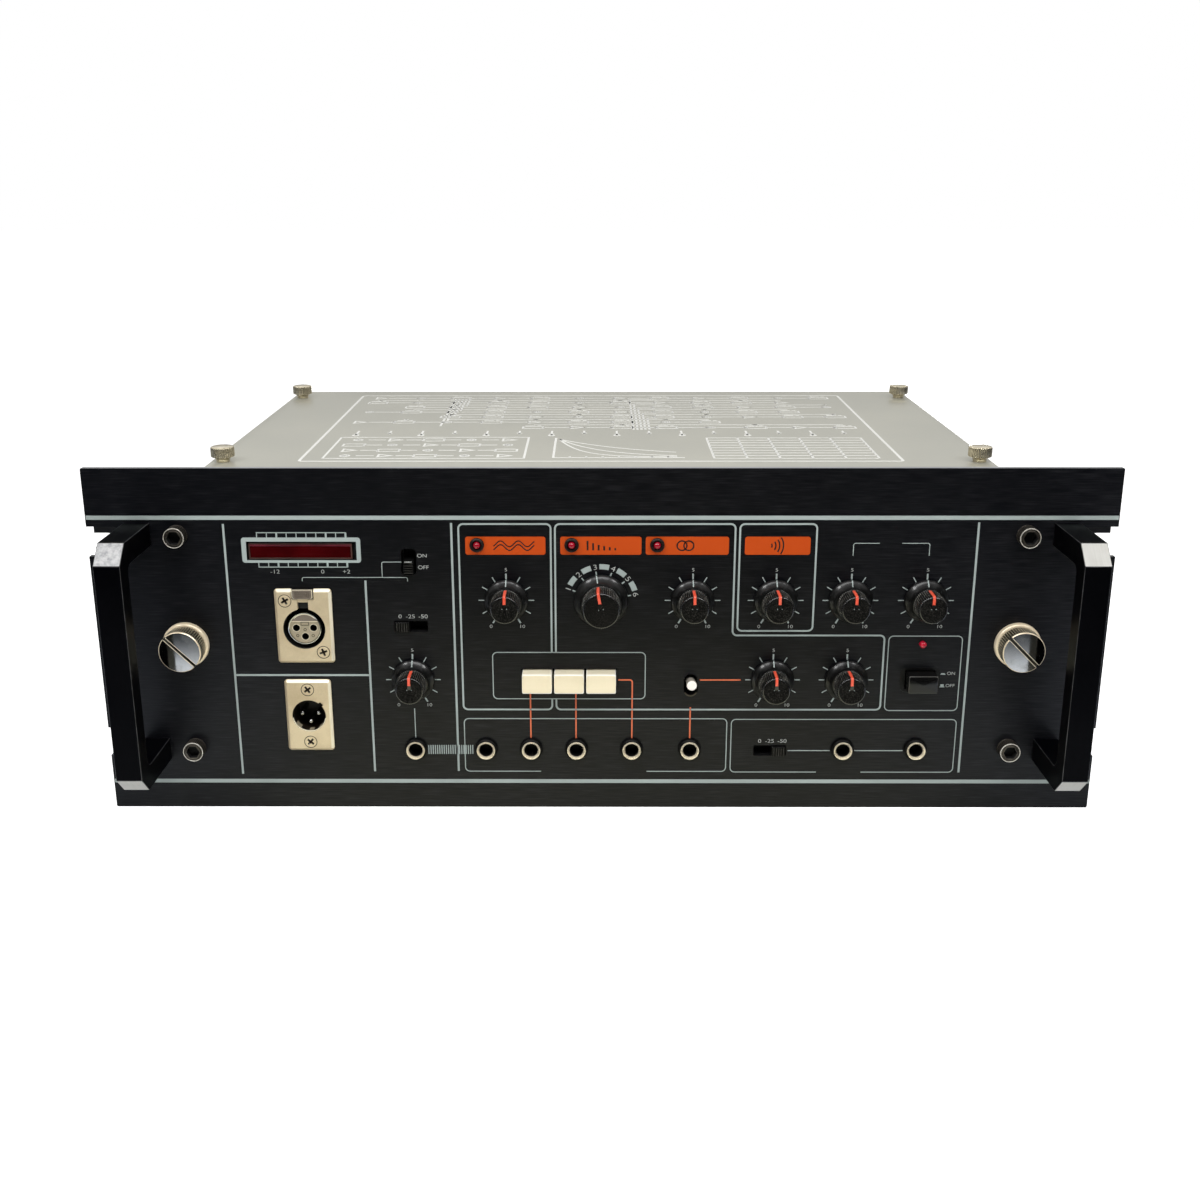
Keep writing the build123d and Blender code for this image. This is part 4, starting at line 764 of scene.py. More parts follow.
# %% Meter scale and switch figures
COMB, STRONG = 0.42, 0.85
meter_x, meter_up = middle("meter_window")
meter_outer = box_path(meter_x - 27.6, meter_x + 28.4, meter_up - 5.75, meter_up + 6.55, 1.4)
meter_inner = box_path(meter_x - 25.4, meter_x + 26.4, meter_up - 4.5, meter_up + 4.55, 0.05)
meter_surround = placed(slab(meter_outer, INK_LOW, 0.12, meter_inner), 0, 0)
comb_cells, comb_pitch = 9, 4.64
for start, foot, back in ((-20.1, 6.5, 8.9), (-20.0, -5.7, -7.9)):
    first, foot, back = meter_x + start, meter_up + foot, meter_up + back
    last = first + comb_pitch * comb_cells
    print_lines.append(inked([(first - 0.25, back), (last + 0.25, back)], COMB))
    for cell in range(comb_cells + 1):
        x = first + cell * comb_pitch
        print_lines.append(inked([(x, foot), (x, back)], STRONG if cell in (2, 7, 9) else COMB))
figures += [lettering(text, 1.9, meter_x + across, meter_up - 10.1)
            for text, across in (("-12", -12.6), ("0", 9.95), ("+2", 21.2))]

power_x, power_up = middle("power_button")
figures += [lettering(text, height, x, up, stretch=stretch) for text, height, x, up, stretch in (
    ("ON", 1.8, input_x + 6.4, 44.0, 1.15), ("OFF", 1.8, input_x + 6.9, 38.3, 1.15),
    ("ON", 1.6, power_x + 14.7, -14.9, 1.1), ("OFF", 1.6, power_x + 14.7, -21.2, 1.1))]
for near, far, up, width in ((9.6, 12.0, -15.4, 0.4), (10.0, 11.6, -15.1, 0.5),
                             (9.6, 12.0, -21.9, 0.4), (10.0, 11.6, -21.2, 1.3)):
    print_lines.append(inked([(power_x + near, up), (power_x + far, up)], width))
for x, up in ((input_x + 0.5, 13.9), (echo_x + 0.5, -50.3)):
    figures += [lettering(text, 1.9, x + along, up)
                for text, along in (("0", -5.6), ("-25", -0.7), ("-50", 5.4))]
print("the meter's scale has", comb_cells, "cells;", len(figures), "figures in all")

# %% Orange print
ORANGE, LABEL_HIGH = 0.68, 0.02
lever_x, lever_up, lead_top, lead_foot = middle("repeat_lever")[0], -18.4, -24.4, jack_up + 5.4
orange_lines = [
    inked([(-34.3, lead_top), (-34.3, lead_foot)], ORANGE),
    inked([(-12.2, lead_top), (-12.2, lead_foot)], ORANGE),
    inked_open([(8.4, lever_up), (15.1, lever_up), (15.1, lead_foot)], ORANGE, 1.2),
    inked([(lever_x + 4.4, lever_up), (echo_x - 15.4, lever_up)], ORANGE),
    inked([(lever_x, -32.6), (lever_x, lead_foot)], ORANGE),
]
label_foot, label_top = 44.5, 53.3
label_up = (label_foot + label_top) / 2
labels = [placed(slab(box_path(left, right, label_foot, label_top, 1.1), INK_LOW, LABEL_HIGH), 0, 0)
          for left, right in ((-63.8, -26.2), (-19.2, 18.9), (20.9, 59.9), (67.4, 98.1))]
print(len(print_lines), "grey lines,", len(orange_lines), "orange lines,", len(labels), "labels")

# %% [markdown]
# Each orange label carries one plain black mark in place of a word: a wave for chorus, falling bars
# for echo, two linked rings for sound on sound, spreading arcs for reverb.

# %% Marks on the labels, and all the print as pieces
wave_x = np.linspace(-8, 8, 48)
marks = [inked(np.column_stack((-41.0 + wave_x * 1.2,
                                label_up + shift + 1.4 * np.sin(wave_x * 0.9))), 0.6)
         for shift in (-0.9, 0.9)]
for bar in range(6):
    x, foot = -6.4 + 2.6 * bar, label_up - 2.3
    marks.append(inked([(x, foot), (x, foot + 4.7 * 0.76**bar)], 0.9))
marks += [inked(arc_path(x, label_up, 2.3, 0, 345, 24), 0.7, True) for x in (37.9, 41.1)]
marks += [inked(arc_path(78.5, label_up, radius, 55, 125), 0.7) for radius in (1.6, 3.4, 5.2, 7.0)]

for name, material, shapes in (
    ("panel_print", grey_ink, print_lines + [meter_surround]), ("panel_figures", fine_ink, figures),
    ("panel_labels", orange_ink, labels), ("panel_orange_lines", salmon_ink, orange_lines),
    ("label_marks", black_ink, marks),
):
    piece(name, "case", [material], shapes, slot="dress_panel")
print("print pieces ride on the case")

# %% [markdown]
# ## Knobs
# A knob is moulded in one: a glossy flared skirt, a ribbed cap to grip and a grained face with a
# red pointer let into a groove that runs over the edge and down the side. The body is one profile
# turned with its ribs as a wave in the radius. The groove is cut with a Boolean, once for each knob
# size, and the red inlay is its own ribbon bent over the same edge.

# %% Knob shapes
KNOB_LIFT, KNOB_RIM, SHOULDER = 0.6, 1.0, 1.3
RIB_FOOT, RIB_DEPTH, GROOVE_WIDTH, GROOVE_DEPTH = 0.4, 0.6, 1.9, 0.3


def skirt_flare(skirt_radius, skirt_height, cap_radius, steps=9):
    """The skirt's concave curve: radius = foot + (rim - foot) * (1 - t)**2 while the height rises
    evenly with t."""
    t, foot = np.linspace(0, 1, steps), cap_radius + 0.55
    height = KNOB_LIFT + KNOB_RIM + skirt_height * t
    return np.column_stack((foot + (skirt_radius - foot) * (1 - t) ** 2, height))


def knob_shape(skirt_radius, skirt_height, cap_radius, height, ribs):
    """A lifted rim, the flare, then the cap: straight and ribbed, with a rounded shoulder and a
    groove that runs from near its middle over the edge and down its side."""
    top, edge = KNOB_LIFT + height, KNOB_LIFT + KNOB_RIM
    foot = edge + skirt_height + RIB_FOOT
    bend, share = np.radians(np.linspace(0, 90, 7)), (1.0, 1.0, 0.7, 0.3, 0.0, 0.0, 0.0)
    crown = np.column_stack((cap_radius - SHOULDER + SHOULDER * np.cos(bend),
                             top - SHOULDER + SHOULDER * np.sin(bend), share))
    profile = [(0, KNOB_LIFT), (skirt_radius - 0.3, KNOB_LIFT), (skirt_radius, KNOB_LIFT + 0.3),
               *skirt_flare(skirt_radius, skirt_height, cap_radius),
               (cap_radius + 0.05, edge + skirt_height + 0.1), (cap_radius, foot, 1.0),
               *crown, (0, top)]
    cutters = [
        block(GROOVE_WIDTH, cap_radius, top - GROOVE_DEPTH, top + 2, 0, cap_radius / 2 + 0.6),
        block(GROOVE_WIDTH, 4.0, foot, top + 2, 0, cap_radius + 2.0 - 0.55),
    ]
    return carved(turned(profile, ribs * 8, ribs, RIB_DEPTH), cutters), top


def strip(path, inward, width):
    """A strip of even width whose upper edge follows a path of (radius, height) points, and whose
    lower edge lies inward of it."""
    path, inward, half = np.array(path, float), np.array(inward, float), width / 2
    count = len(path)
    rows = [(path, half), (path, -half), (path + inward, -half), (path + inward, half)]
    points = np.vstack([np.column_stack((np.full(count, across), flat)) for flat, across in rows])
    ends = np.arange(4) * count
    return points, np.vstack((grid_faces(4, count, True), ends[::-1], ends + count - 1))


def pointer_shape(cap_radius, top, foot, inset=0.08, thick=0.45, width=1.35):
    """The inlay: out along the face, round the shoulder on an arc just inside it, down the side."""
    arc = np.radians(np.linspace(90, 0, 6))
    away = np.column_stack((np.cos(arc), np.sin(arc)))
    bend = (cap_radius - SHOULDER, top - SHOULDER) + (SHOULDER - inset) * away
    path = np.vstack(([(cap_radius * 0.4, top - inset)], bend, [(cap_radius - inset, foot)]))
    return strip(path, np.vstack(([(0, -thick)], -thick * away, [(-thick, 0)])), width)


def index_shapes(skirt_radius, skirt_height, cap_radius, top):
    """A pale index line down the skirt's flare, and two pale dots at the groove's inner end that
    are painted highlights.
    """
    flare = skirt_flare(skirt_radius, skirt_height, cap_radius)[:6] + (0, 0.07)
    line = strip(flare, np.tile((-0.2, -0.3), (len(flare), 1)), 0.55)
    points, faces = turned([(0, top - 0.3), (0.22, top - 0.3), (0.2, top), (0, top + 0.03)], 12)
    return [line] + [(points + (side, 0.75, 0), faces) for side in (-1.1, 1.1)]


small_size, mode_size = (10.4, 4.4, 7.0), (12.9, 5.0, 8.9)
small_shape, small_top = knob_shape(*small_size, height=15.5, ribs=44)
mode_shape, mode_top = knob_shape(*mode_size, height=16.5, ribs=54)
print("small knob:", len(small_shape[1]), "triangles")

# %% Knobs in place
def knob_zones(x, up, skirt_height, cap_radius, top):
    """Finish 1 on the face, 2 on the ribs' crests, a paler copy that paints their highlight, 3 on
    the smooth shoulder, 0 on the skirt.
    """
    foot = KNOB_LIFT + KNOB_RIM + skirt_height

    def choose(centres, normals):
        out = outward(centres)
        radius = np.hypot(centres[:, 0] - x, centres[:, 2] - up)
        face = (normals[:, 1] < -0.97) & (out > top - 0.15)
        # Faces on the ribs' crests, which take the painted highlight.
        crest = (radius > cap_radius - 0.2) & (out > foot + 0.3)
        return np.select([face, out > top - 0.9, crest], [1, 3, 2], 0)

    return choose


def fit_knob(node, size, shape, top, turn=0.0):
    """A knob, its pointer, its pale index line and its two painted highlight dots in place of a CAD
    knob, on that knob's own body.
    """
    x, up = middle(node)
    pointer = pointer_shape(size[2], top, KNOB_LIFT + KNOB_RIM + size[1] + RIB_FOOT)
    for part, finishes, shapes, looks in (
        ("moulding", [knob_gloss, knob_grain, rib_crest_painted_highlight, knob_shoulder], [shape],
         dict(replaces=(node,), choose=knob_zones(x, up, *size[1:], top), angle=60)),
        ("pointer", [pointer_red], [pointer], dict(slot=node, bevel=0.1)),
        ("marks", [grey_ink], index_shapes(*size, top), dict(slot=node)),
    ):
        seated = [placed(one, x, up, turn=turn) for one in shapes]
        piece(f"{node}_{part}", node, finishes, seated, **looks)


for node in small_knobs:
    fit_knob(node, small_size, small_shape, small_top)
fit_knob("mode_knob", mode_size, mode_shape, mode_top, turn=10.0)
print(len(small_knobs) + 1, "knobs, the small ones", small_top, "mm high")

# %% [markdown]
# ## Buttons, lever and slide switches
# The three buttons are cream mouldings whose pale edges are a painted highlight and whose tops
# carry painted shading; the power button is glossy black with a faint bulge, so that it mirrors
# dark above and pale below, and its rim is a painted highlight. The cream ones are dressed copies;
# the power button, the lever and the ribbed sliders are worked out anew.

# %% Buttons
def crown_or_wall(centres, normals):
    """Finish 0 on faces that look straight forwards, 2 on the tops, a copy with painted shading, 1
    on the rounded edges, a paler copy that paints their highlight.
    """
    return np.select([normals[:, 1] < -0.97, normals[:, 2] > 0.97], [0, 2], 1)


def pillow(width, height, low, high, crown, edge):
    """A cap whose front bulges from top to bottom: out = high - crown * (up / half height)**2.
    Rings of the same rounded outline, shrunk towards the middle, carry the surface; the outermost
    ones drop by shares of the edge's radius."""
    outline = box_path(-width / 2, width / 2, -height / 2, height / 2, 0.7)
    rings = [np.column_stack((outline, np.full(len(outline), low)))]
    insets = ((0.0, edge), (0.12 * edge, 0.5 * edge), (0.5 * edge, 0.12 * edge), (edge, 0.0))
    flats = [(outline * (1 - 2 * inset / width, 1 - 2 * inset / height), drop)
             for inset, drop in insets]
    flats += [(outline * (1 - 2 * edge / height) * share, 0.0)
              for share in (0.85, 0.6, 0.35, 0.1, 0.0)]
    rings += [np.column_stack((flat, high - drop - crown * (flat[:, 1] * 2 / height) ** 2))
              for flat, drop in flats]
    rings.insert(0, rings[0] * (0, 0, 1))
    return np.vstack(rings), grid_faces(len(rings), len(outline), False, True)


def rim_or_face(centres, normals):
    """Finish 1 on the power button's rounded rim, a paler black that paints its highlight, 0
    elsewhere.
    """
    slanting = np.abs(normals[:, 1]) < 0.93
    return np.where(slanting & (outward(centres) > power_front - 1.2), 1, 0)


for name in ("chorus_button", "echo_button", "sound_button"):
    dressed(name, name, [cream, cream_edge_painted_highlight, cream_top_painted_shading], crown_or_wall, bevel=0.0)
power_gloss = finish("glossy_power_button", (6, 6, 6), (22, 22, 21), 0.12, grain=900, patch=60,
                     patch_share=0.5, bump=0.04)
# Painted highlight: the power button's rim takes a paler black that stands in for light along its
# edges.
power_rim_painted_highlight = finish("painted_highlight_power_rim", (52, 51, 48), (96, 94, 90), 0.2, patch=200, bump=0.03)
power_low, power_high = extent("power_button")
power_front, power_back = stand_out("power_button")
power_wide, power_tall = (power_high - power_low)[[0, 2]]
power_cap = pillow(power_wide, power_tall, -6.0, power_front, crown=0.85, edge=0.35)
power_stem = block(4.0, 4.0, power_back, -5.9)
piece("power_button_cap", "power_button", [power_gloss, power_rim_painted_highlight],
      [placed(shape, power_x, power_up) for shape in (power_cap, power_stem)], ("power_button",),
      choose=rim_or_face, angle=60)
print("the power button is", round(power_wide, 1), "by", round(power_tall, 1), "mm")

# %% Lever
# Painted light and shade: the lever's end takes a bright copy of its colour as if lit from the
# front, its shaft a greyer copy as if in shade.
lever_end_painted_light = finish("painted_light_lever_end", (255, 252, 242), (238, 234, 222), 0.35, patch=200,
                     bump=0.03)
lever_shaft_painted_shade = finish("lever_stem_painted_shade", (176, 170, 158), (146, 138, 124), 0.4, patch=200)
slot_up, ball_radius, lever_reach = -21.2, 2.6, 17.2
ball = np.radians(np.linspace(-90, 28, 10))
lever_profile = [
    *((ball_radius * math.cos(angle), ball_radius * math.sin(angle)) for angle in ball),
    (2.25, 2.0), (2.2, lever_reach - 1.9), (2.45, lever_reach - 1.4), (2.5, lever_reach - 0.5),
    (2.3, lever_reach - 0.12), (2.0, lever_reach), (0, lever_reach),
]
lever_points, lever_faces = turned(lever_profile, 40)
sine, cosine = math.sin(math.radians(9.5)), math.cos(math.radians(9.5))
tilt = np.array(((1, 0, 0), (0, cosine, -sine), (0, sine, cosine)))
lever_points = lever_points @ tilt + (0, 0, stand_out("repeat_lever")[1] + ball_radius)
# Faces that look forwards get the painted light, all others the painted shade.
piece("repeat_lever_turned", "repeat_lever", [lever_shaft_painted_shade, lever_end_painted_light],
      [placed((lever_points, lever_faces), lever_x, slot_up)], ("repeat_lever",),
      choose=lambda centres, normals: np.where(normals[:, 1] < -0.75, 1, 0), angle=45)
slot_lip = ribbon(arc_path(0, -2.4, 3.15, 118, 242, 16), 0.4, -1.8, -0.15)
piece("lever_slot_lip", "case", [dark_nickel_and_painted_shade], [placed(slot_lip, lever_x, slot_up)],
      slot="small_switch_bodies")
for name in ("push_switch_bodies", "small_switch_bodies"):
    dressed(name, "case", [black_moulding], bevel=0.15)
print("the lever reaches", lever_reach, "mm past its pivot")

# %% Slide switches
rib_faint = finish("rubbed_slider_rib", (44, 43, 40), (104, 102, 94), 0.45, patch=300,
                   patch_share=0.8, bump=0.1)


def ribbed_slider(name, ribs=6):
    """A slider: a block with cross ribs on its front, raised by a squared-off wave along its
    travel."""
    x, up = middle(name)
    low, high = extent(name)
    front, back = stand_out(name)
    wide, tall = (high - low)[[0, 2]]
    length, half = max(wide, tall), min(wide, tall) / 2
    along = np.linspace(-length / 2, length / 2, ribs * 12 + 1)
    wave = np.clip(3.0 * np.cos(along / length * ribs * 2 * math.pi) - 1.2, -1, 1)
    crown = front - 0.45 + 0.45 * wave
    crown[[0, -1]] = front - 0.9
    rows = [(-half, np.full_like(along, back)), (-half, crown - 0.15), (-half + 0.2, crown),
            (half - 0.2, crown), (half, crown - 0.15), (half, np.full_like(along, back))]
    points = np.vstack([np.column_stack((np.full_like(along, side), along, out))
                        for side, out in rows])
    ends = np.arange(6) * len(along)
    faces = (grid_faces(6, len(along), True), np.array([ends[::-1], ends + len(along) - 1]))
    piece(f"{name}_ribbed", name, [black_moulding, rib_faint],
          [placed((points, some), x, up, turn=0.0 if tall > wide else 90.0) for some in faces],
          (name,), choose=lambda centres, normals: np.where(outward(centres) > front - 0.06, 1, 0))


for name in ("direct_switch_slider", "input_level_slider", "output_level_slider"):
    ribbed_slider(name)
mark_x, mark_up = middle("direct_switch_slider")
# Painted highlight: a pale line near the slider's top, where its upper edge catches the light.
mark = placed(ribbon([(-1.7, 0), (1.7, 0)], 0.36, 1.4, 1.98), mark_x, mark_up + 3.1)
piece("direct_switch_painted_highlight", "direct_switch_slider", [fine_ink], [mark], slot="direct_switch_slider")
print("buttons, lever and sliders done")

# %% [markdown]
# ## Jacks, lamps and meter
# A jack shows a black ring nut, a plated bushing whose mouth is bored to a bowl, and a hole lined
# in black as painted shade.
# The bowl is what catches the light as a crescent. A lamp is a small red dome in a black collar.
# The meter is a sheet of deep red behind a bevelled opening.

# %% Jacks
bore, rim, mouth = 3.35, 4.5, 3.4
bushing_profile = [
    (rim, -1.0), (rim, mouth - 0.35), (rim - 0.12, mouth - 0.1), (rim - 0.35, mouth),
    (4.12, mouth - 0.06), (3.86, mouth - 0.35), (3.6, mouth - 0.8), (bore, mouth - 1.4),
    (bore, -1.0),
]
bore_profile = [(0, -21.0), (bore, -21.0), (bore, mouth - 1.42), (bore - 0.12, mouth - 1.42),
                (bore - 0.12, -20.0), (0, -20.0)]
nut_profile = [(rim + 0.02, 0.0), (5.6, 0.0), (5.6, 1.5), (5.45, 1.85), (5.0, 2.3), (4.85, 2.4),
               (rim + 0.02, 2.4)]
for name, material, shape, looks in (
    ("jack_bushings", jack_plating, turned(bushing_profile, 64, ring=True),
     dict(replaces=("jack_bodies",))),
    # The bore's black lining is painted shade.
    ("jack_bores_painted_shade", painted_shade_black, turned(bore_profile, 48), dict(slot="jack_bodies")),
    ("jack_housings", black_moulding, block(13, 13, -29, -5, radius=0.6),
     dict(slot="jack_bodies", bevel=0.2)),
    ("jack_ring_nuts", ring_black, turned(nut_profile, 64, ring=True),
     dict(replaces=("jack_nuts",))),
):
    piece(name, "case", [material], [placed(shape, x, jack_up) for x in jack_columns], **looks)
print(len(jack_columns), "jacks")

# %% Lamps
lamp_red = finish("red_lamp_lens", (150, 6, 30), (196, 16, 52), 0.08, grain=600, patch=300,
                  grain_share=0.2, bump=0.02, Coat_Weight=0.6, Coat_Roughness=0.03, IOR=1.55)
power_red = finish("bright_power_lens", (176, 4, 30), (226, 34, 66), 0.12, grain=600, patch=500,
                   patch_share=0.9, bump=0.02, Coat_Weight=1.0, Coat_Roughness=0.04)
collar_matt = finish("matt_lamp_collar", (17, 12, 11), (42, 33, 29), 0.42, patch=200, bump=0.15,
                     Specular_IOR_Level=0.4)
collar_profile = [
    (1.75, -5.0), (2.6, -5.0), (2.6, 0.0), (3.4, 0.0), (3.4, 1.1), (3.25, 1.42), (2.95, 1.6),
    (2.5, 1.5), (2.2, 1.1), (2.1, 0.6), (1.75, 0.5),
]


def dome(tip, depth, radius=1.7):
    """A rod with a domed end: (radius cos b, tip - radius + radius sin b) for b from 0 to 90."""
    bow = np.radians(np.linspace(0, 90, 9))
    arc = np.column_stack((radius * np.cos(bow), tip - radius + radius * np.sin(bow)))
    return turned([(0, tip - depth), (radius, tip - depth), *arc], 40)


holder_columns, holder_up = columns_of("lamp_holders"), middle("lamp_holders")[1]
collars = [placed(turned(collar_profile, 56, ring=True), x, holder_up) for x in holder_columns]
piece("lamp_collars", "case", [collar_matt], collars, ("lamp_holders",))
lenses = [placed(dome(tip=2.6, depth=8.0), x, holder_up) for x in holder_columns]
lenses += [placed(dome(tip=2.7, depth=8.0), treble_x, 0.0)]
piece("lamp_lenses", "case", [lamp_red, power_red], lenses, ("lamps",),
      choose=lambda centres, normals: np.where(centres[:, 0] > 100, 1, 0))
print("lamps at", [round(x, 1) for x in (*holder_columns, treble_x)])

# %% Meter
meter_red = finish("deep_red_window", (52, 0, 2), (82, 0, 4), 0.2, grain=900, patch=26,
                   patch_share=1.0, bump=0.02, Specular_IOR_Level=0.1)
meter_lit = finish("lit_window_edge", (122, 34, 52), (84, 18, 30), 0.35, grain=900, patch=60,
                   patch_share=0.8)
meter_dull = finish("dull_window_rim", (74, 46, 38), (40, 26, 22), 0.4, patch=120, patch_share=0.8,
                    bump=0.1)
left, right, foot, brow = meter_x - 24.5, meter_x + 24.3, meter_up - 4.1, meter_up + 3.5
outer = box_path(left, right, foot, brow, 0.3)
inner = box_path(left + 0.6, right - 0.7, foot + 0.6, brow - 0.35, 0.1)
lit = box_path(left + 0.6, right - 0.7, brow - 1.5, brow - 0.35)
piece("meter_red_window", "case", [meter_red], [placed(slab(inner, -2.3, -0.9), 0, 0)],
      ("meter_window",))
piece("meter_lit_edge", "case", [meter_lit], [placed(slab(lit, -2.0, -0.8), 0, 0)],
      slot="meter_window", bevel=0.1)
piece("meter_rim", "case", [meter_dull], [placed(slab(outer, -2.3, -0.4, inner), 0, 0)],
      slot="meter_window", bevel=0.15)
# Painted shade: a black block behind the window, dark as the recess's shade.
piece("meter_well_painted_shade", "case", [painted_shade_black], [placed(block(51.2, 9.2, -3.0, -2.2), meter_x, meter_up)],
      slot="meter_window")
print("the window is", round(right - left, 1), "by", round(brow - foot, 1), "mm")

# %% [markdown]
# ## Balanced connectors
# Both connectors have die-cast flanges in a warm satin plating. The shells are dressed copies. The
# screws and the socket's insert are made new: a plated ring, a grey bridge across its top and a
# recessed face with three contact holes. The insides of the barrels are painted dark as shade, and
# bright edges and lips on them are painted highlights.

# %% Connector shells and screws
def flange_bevel_or_well(centres, normals):
    """Finish 1 on the flange's bevel where it faces up or to the right, a painted highlight; 2 deep
    inside, dark with painted shade; 0 elsewhere.
    """
    out = outward(centres)
    bevel = (np.abs(normals[:, 1]) < 0.95) & (out > 0.9) & (normals[:, 0] + normals[:, 2] > 0.3)
    return np.where(out < -1.2, 2, np.where(bevel, 1, 0))


def head_or_recess(centres, normals):
    """Finish 1 down in the cross recess, dark brown as painted shade, 0 on the screw's head."""
    return np.where(outward(centres) < screw_front - 0.12, 1, 0)


latch_grey = finish("dull_latch_steel", (146, 134, 120), (112, 102, 92), 0.4, 0.5, grain=2200,
                    patch=150, grain_share=0.6, bump=0.35)
# Dark brown as painted shade in the screws' recesses and round their heads; also the colour of the
# signs on the socket's insert.
recess_shade_and_mark_brown = finish("shaded_recess", (44, 28, 17), (20, 13, 9), 0.5, 0.3, patch=300, bump=0.2)
# Deep in the plug: the insert's own dark brown, and the barrel's inner walls darkened as painted
# shade.
plug_brown_and_painted_shade = finish("plug_insert_brown_and_well_shade", (18, 13, 9), (44, 32, 20), 0.4, patch=180, patch_share=0.9,
                    bump=0.1)
# The insert's face; the same pale tone paints light on the plug's inner walls.
insert_face_and_wall_light = finish("insert_face_and_painted_wall_light", (196, 184, 158), (166, 152, 126), 0.4, 0.5, patch=120,
                      bump=0.15)
for node, well_finish in (("input_socket_shell", painted_shade_black), ("output_plug_shell", plug_brown_and_painted_shade)):
    dressed(node, "case", [warm_nickel, nickel_painted_highlight, well_finish], flange_bevel_or_well, bevel=0.15)

socket_x, socket_up = middle("input_socket_shell")
plug_x, plug_up = middle("output_plug_shell")
screw_places = [(socket_x - 8.5, socket_up + 12.9), (socket_x + 8.5, socket_up - 12.9),
                (plug_x, plug_up - 13.6), (plug_x, plug_up + 13.6)]
screw_front, screw_tail = stand_out("connector_screws")
screw_profile = [(0, screw_tail), (1.4, screw_tail), (1.4, 0.2), (2.9, 1.7),
                 (2.9, screw_front - 0.12), (2.75, screw_front), (0, screw_front)]
cross_arms = [slab(box_path(-wide, wide, -tall, tall, 0.1), 0.9, 3.0)
              for wide, tall in ((1.9, 0.52), (0.52, 1.9))]
cross_screw = carved(turned(screw_profile, 48), cross_arms)
cross_screws = [placed(cross_screw, x, up, turn=turn)
                for (x, up), turn in zip(screw_places, (30, 20, 50, 35))]
piece("connector_screw_heads", "case", [warm_nickel, recess_shade_and_mark_brown], cross_screws,
      ("connector_screws",), choose=head_or_recess)
# Painted shadow: a dark ring on the flange round each screw head.
screw_shadow_rings = [placed(ribbon(arc_path(x, up, 3.05, 0, 350, 36), 0.3, 1.9, 2.03, True), 0, 0)
         for x, up in screw_places]
piece("screw_painted_shadow_rings", "case", [recess_shade_and_mark_brown], screw_shadow_rings, slot="connector_screws")
print(len(screw_places), "cross-headed screws")

# %% Latch, pins and painted light on the plug's walls
latch_top, latch_front = extent("input_latch")[1][2], stand_out("input_latch")[0]
tab_foot = latch_top - 4.7
tab_path = [(-4.9, 0.9), (-4.1, 0.05), (4.1, 0.05), (4.9, 0.9), (4.9, 4.7), (-4.9, 4.7)]
tab = placed(slab(tab_path, 1.05, latch_front - 0.15), socket_x, tab_foot)
grips = [placed(block(6.6, 0.45, latch_front - 0.5, latch_front), socket_x, tab_foot + up)
         for up in (1.3, 2.3, 3.3)]
ledge = placed(block(5.0, 1.7, 1.05, 1.95), socket_x, tab_foot - 0.85)
# Painted shade: a thin black block below the tab, in the latch's opening.
tongue = placed(block(4.6, 3.2, 1.05, 1.3), socket_x, tab_foot - 3.3)
# The tab's rounded edges take the painted highlight.
piece("latch_tab", "input_latch", [latch_grey, nickel_painted_highlight], [tab], ("input_latch",), bevel=0.25,
      edge=1)
piece("latch_grips", "input_latch", [latch_grey], grips, slot="input_latch", bevel=0.12)
piece("latch_step", "input_latch", [warm_nickel], [ledge], slot="input_latch", bevel=0.15)
piece("latch_tongue_painted_shade", "input_latch", [painted_shade_black], [tongue], slot="input_latch")

pin_tip, pin_foot = stand_out("output_plug_pins")
contact_places = [(-4.1, 0.0), (4.1, 0.0), (0.0, -4.3)]
pins = [placed(dome(pin_tip, pin_tip - pin_foot, 1.15), plug_x + x, plug_up + up)
        for x, up in contact_places]
piece("plug_pins", "case", [silver], pins, ("output_plug_pins",))
# Painted light: pale patches on the lower inner wall of the plug's barrel, where light from above
# falls.
walls = [placed(ribbon(arc_path(0, 0, 7.85, start, end), 0.3, -2.2, 1.5), plug_x, plug_up)
         for start, end in ((214, 238), (168, 184), (132, 146))]
piece("plug_painted_wall_light", "case", [insert_face_and_wall_light], walls, slot="output_plug_shell")
# Painted highlight: a bright crescent on the lower half of the barrel's lip.
barrel_lip_highlight = ribbon(arc_path(0, 0, 7.95, 100, 262, 30), 0.25, 1.2, 1.98)
piece("plug_lip_painted_highlight", "case", [nickel_painted_highlight], [placed(barrel_lip_highlight, plug_x, plug_up)],
      slot="output_plug_shell")
print("the pins' tips are at", round(pin_tip, 2), "mm")

# %% Socket insert
insert_x, insert_up = middle("input_socket_insert")
insert_front, insert_foot = stand_out("input_socket_insert")
ring_outer, ring_inner, face_out = 8.0, 7.3, insert_front - 0.9
ring_profile = [
    (0, insert_foot), (ring_outer, insert_foot), (ring_outer, insert_front - 0.3),
    (ring_outer - 0.15, insert_front - 0.06), (ring_outer - 0.4, insert_front),
    (ring_inner, insert_front - 0.15), (ring_inner - 0.05, face_out), (0, face_out),
]
drill, drill_faces = turned([(0, -12), (1.7, -12), (1.7, 4), (0, 4)], 36)
drills = [(drill + (x, up, 0), drill_faces) for x, up in contact_places]
bridge_foot, bridge_half = 3.4, 6.4
chord = [(-bridge_half, bridge_foot), (bridge_half, bridge_foot)]
crest = [(x, math.sqrt(ring_inner**2 - x**2)) for x in np.linspace(bridge_half, -bridge_half, 15)]
bridge = slab(chord + crest, face_out - 0.1, insert_front - 0.45)


def insert_choice(centres, normals):
    """Finish 1 on the recessed face, 2 down the contact holes, black as painted shade, 0 on the
    plated ring.
    """
    radius = np.hypot(centres[:, 0] - insert_x, centres[:, 2] - insert_up)
    deep = outward(centres) < face_out - 0.02
    return np.where(radius < ring_inner - 0.3, np.where(deep, 2, 1), 0)


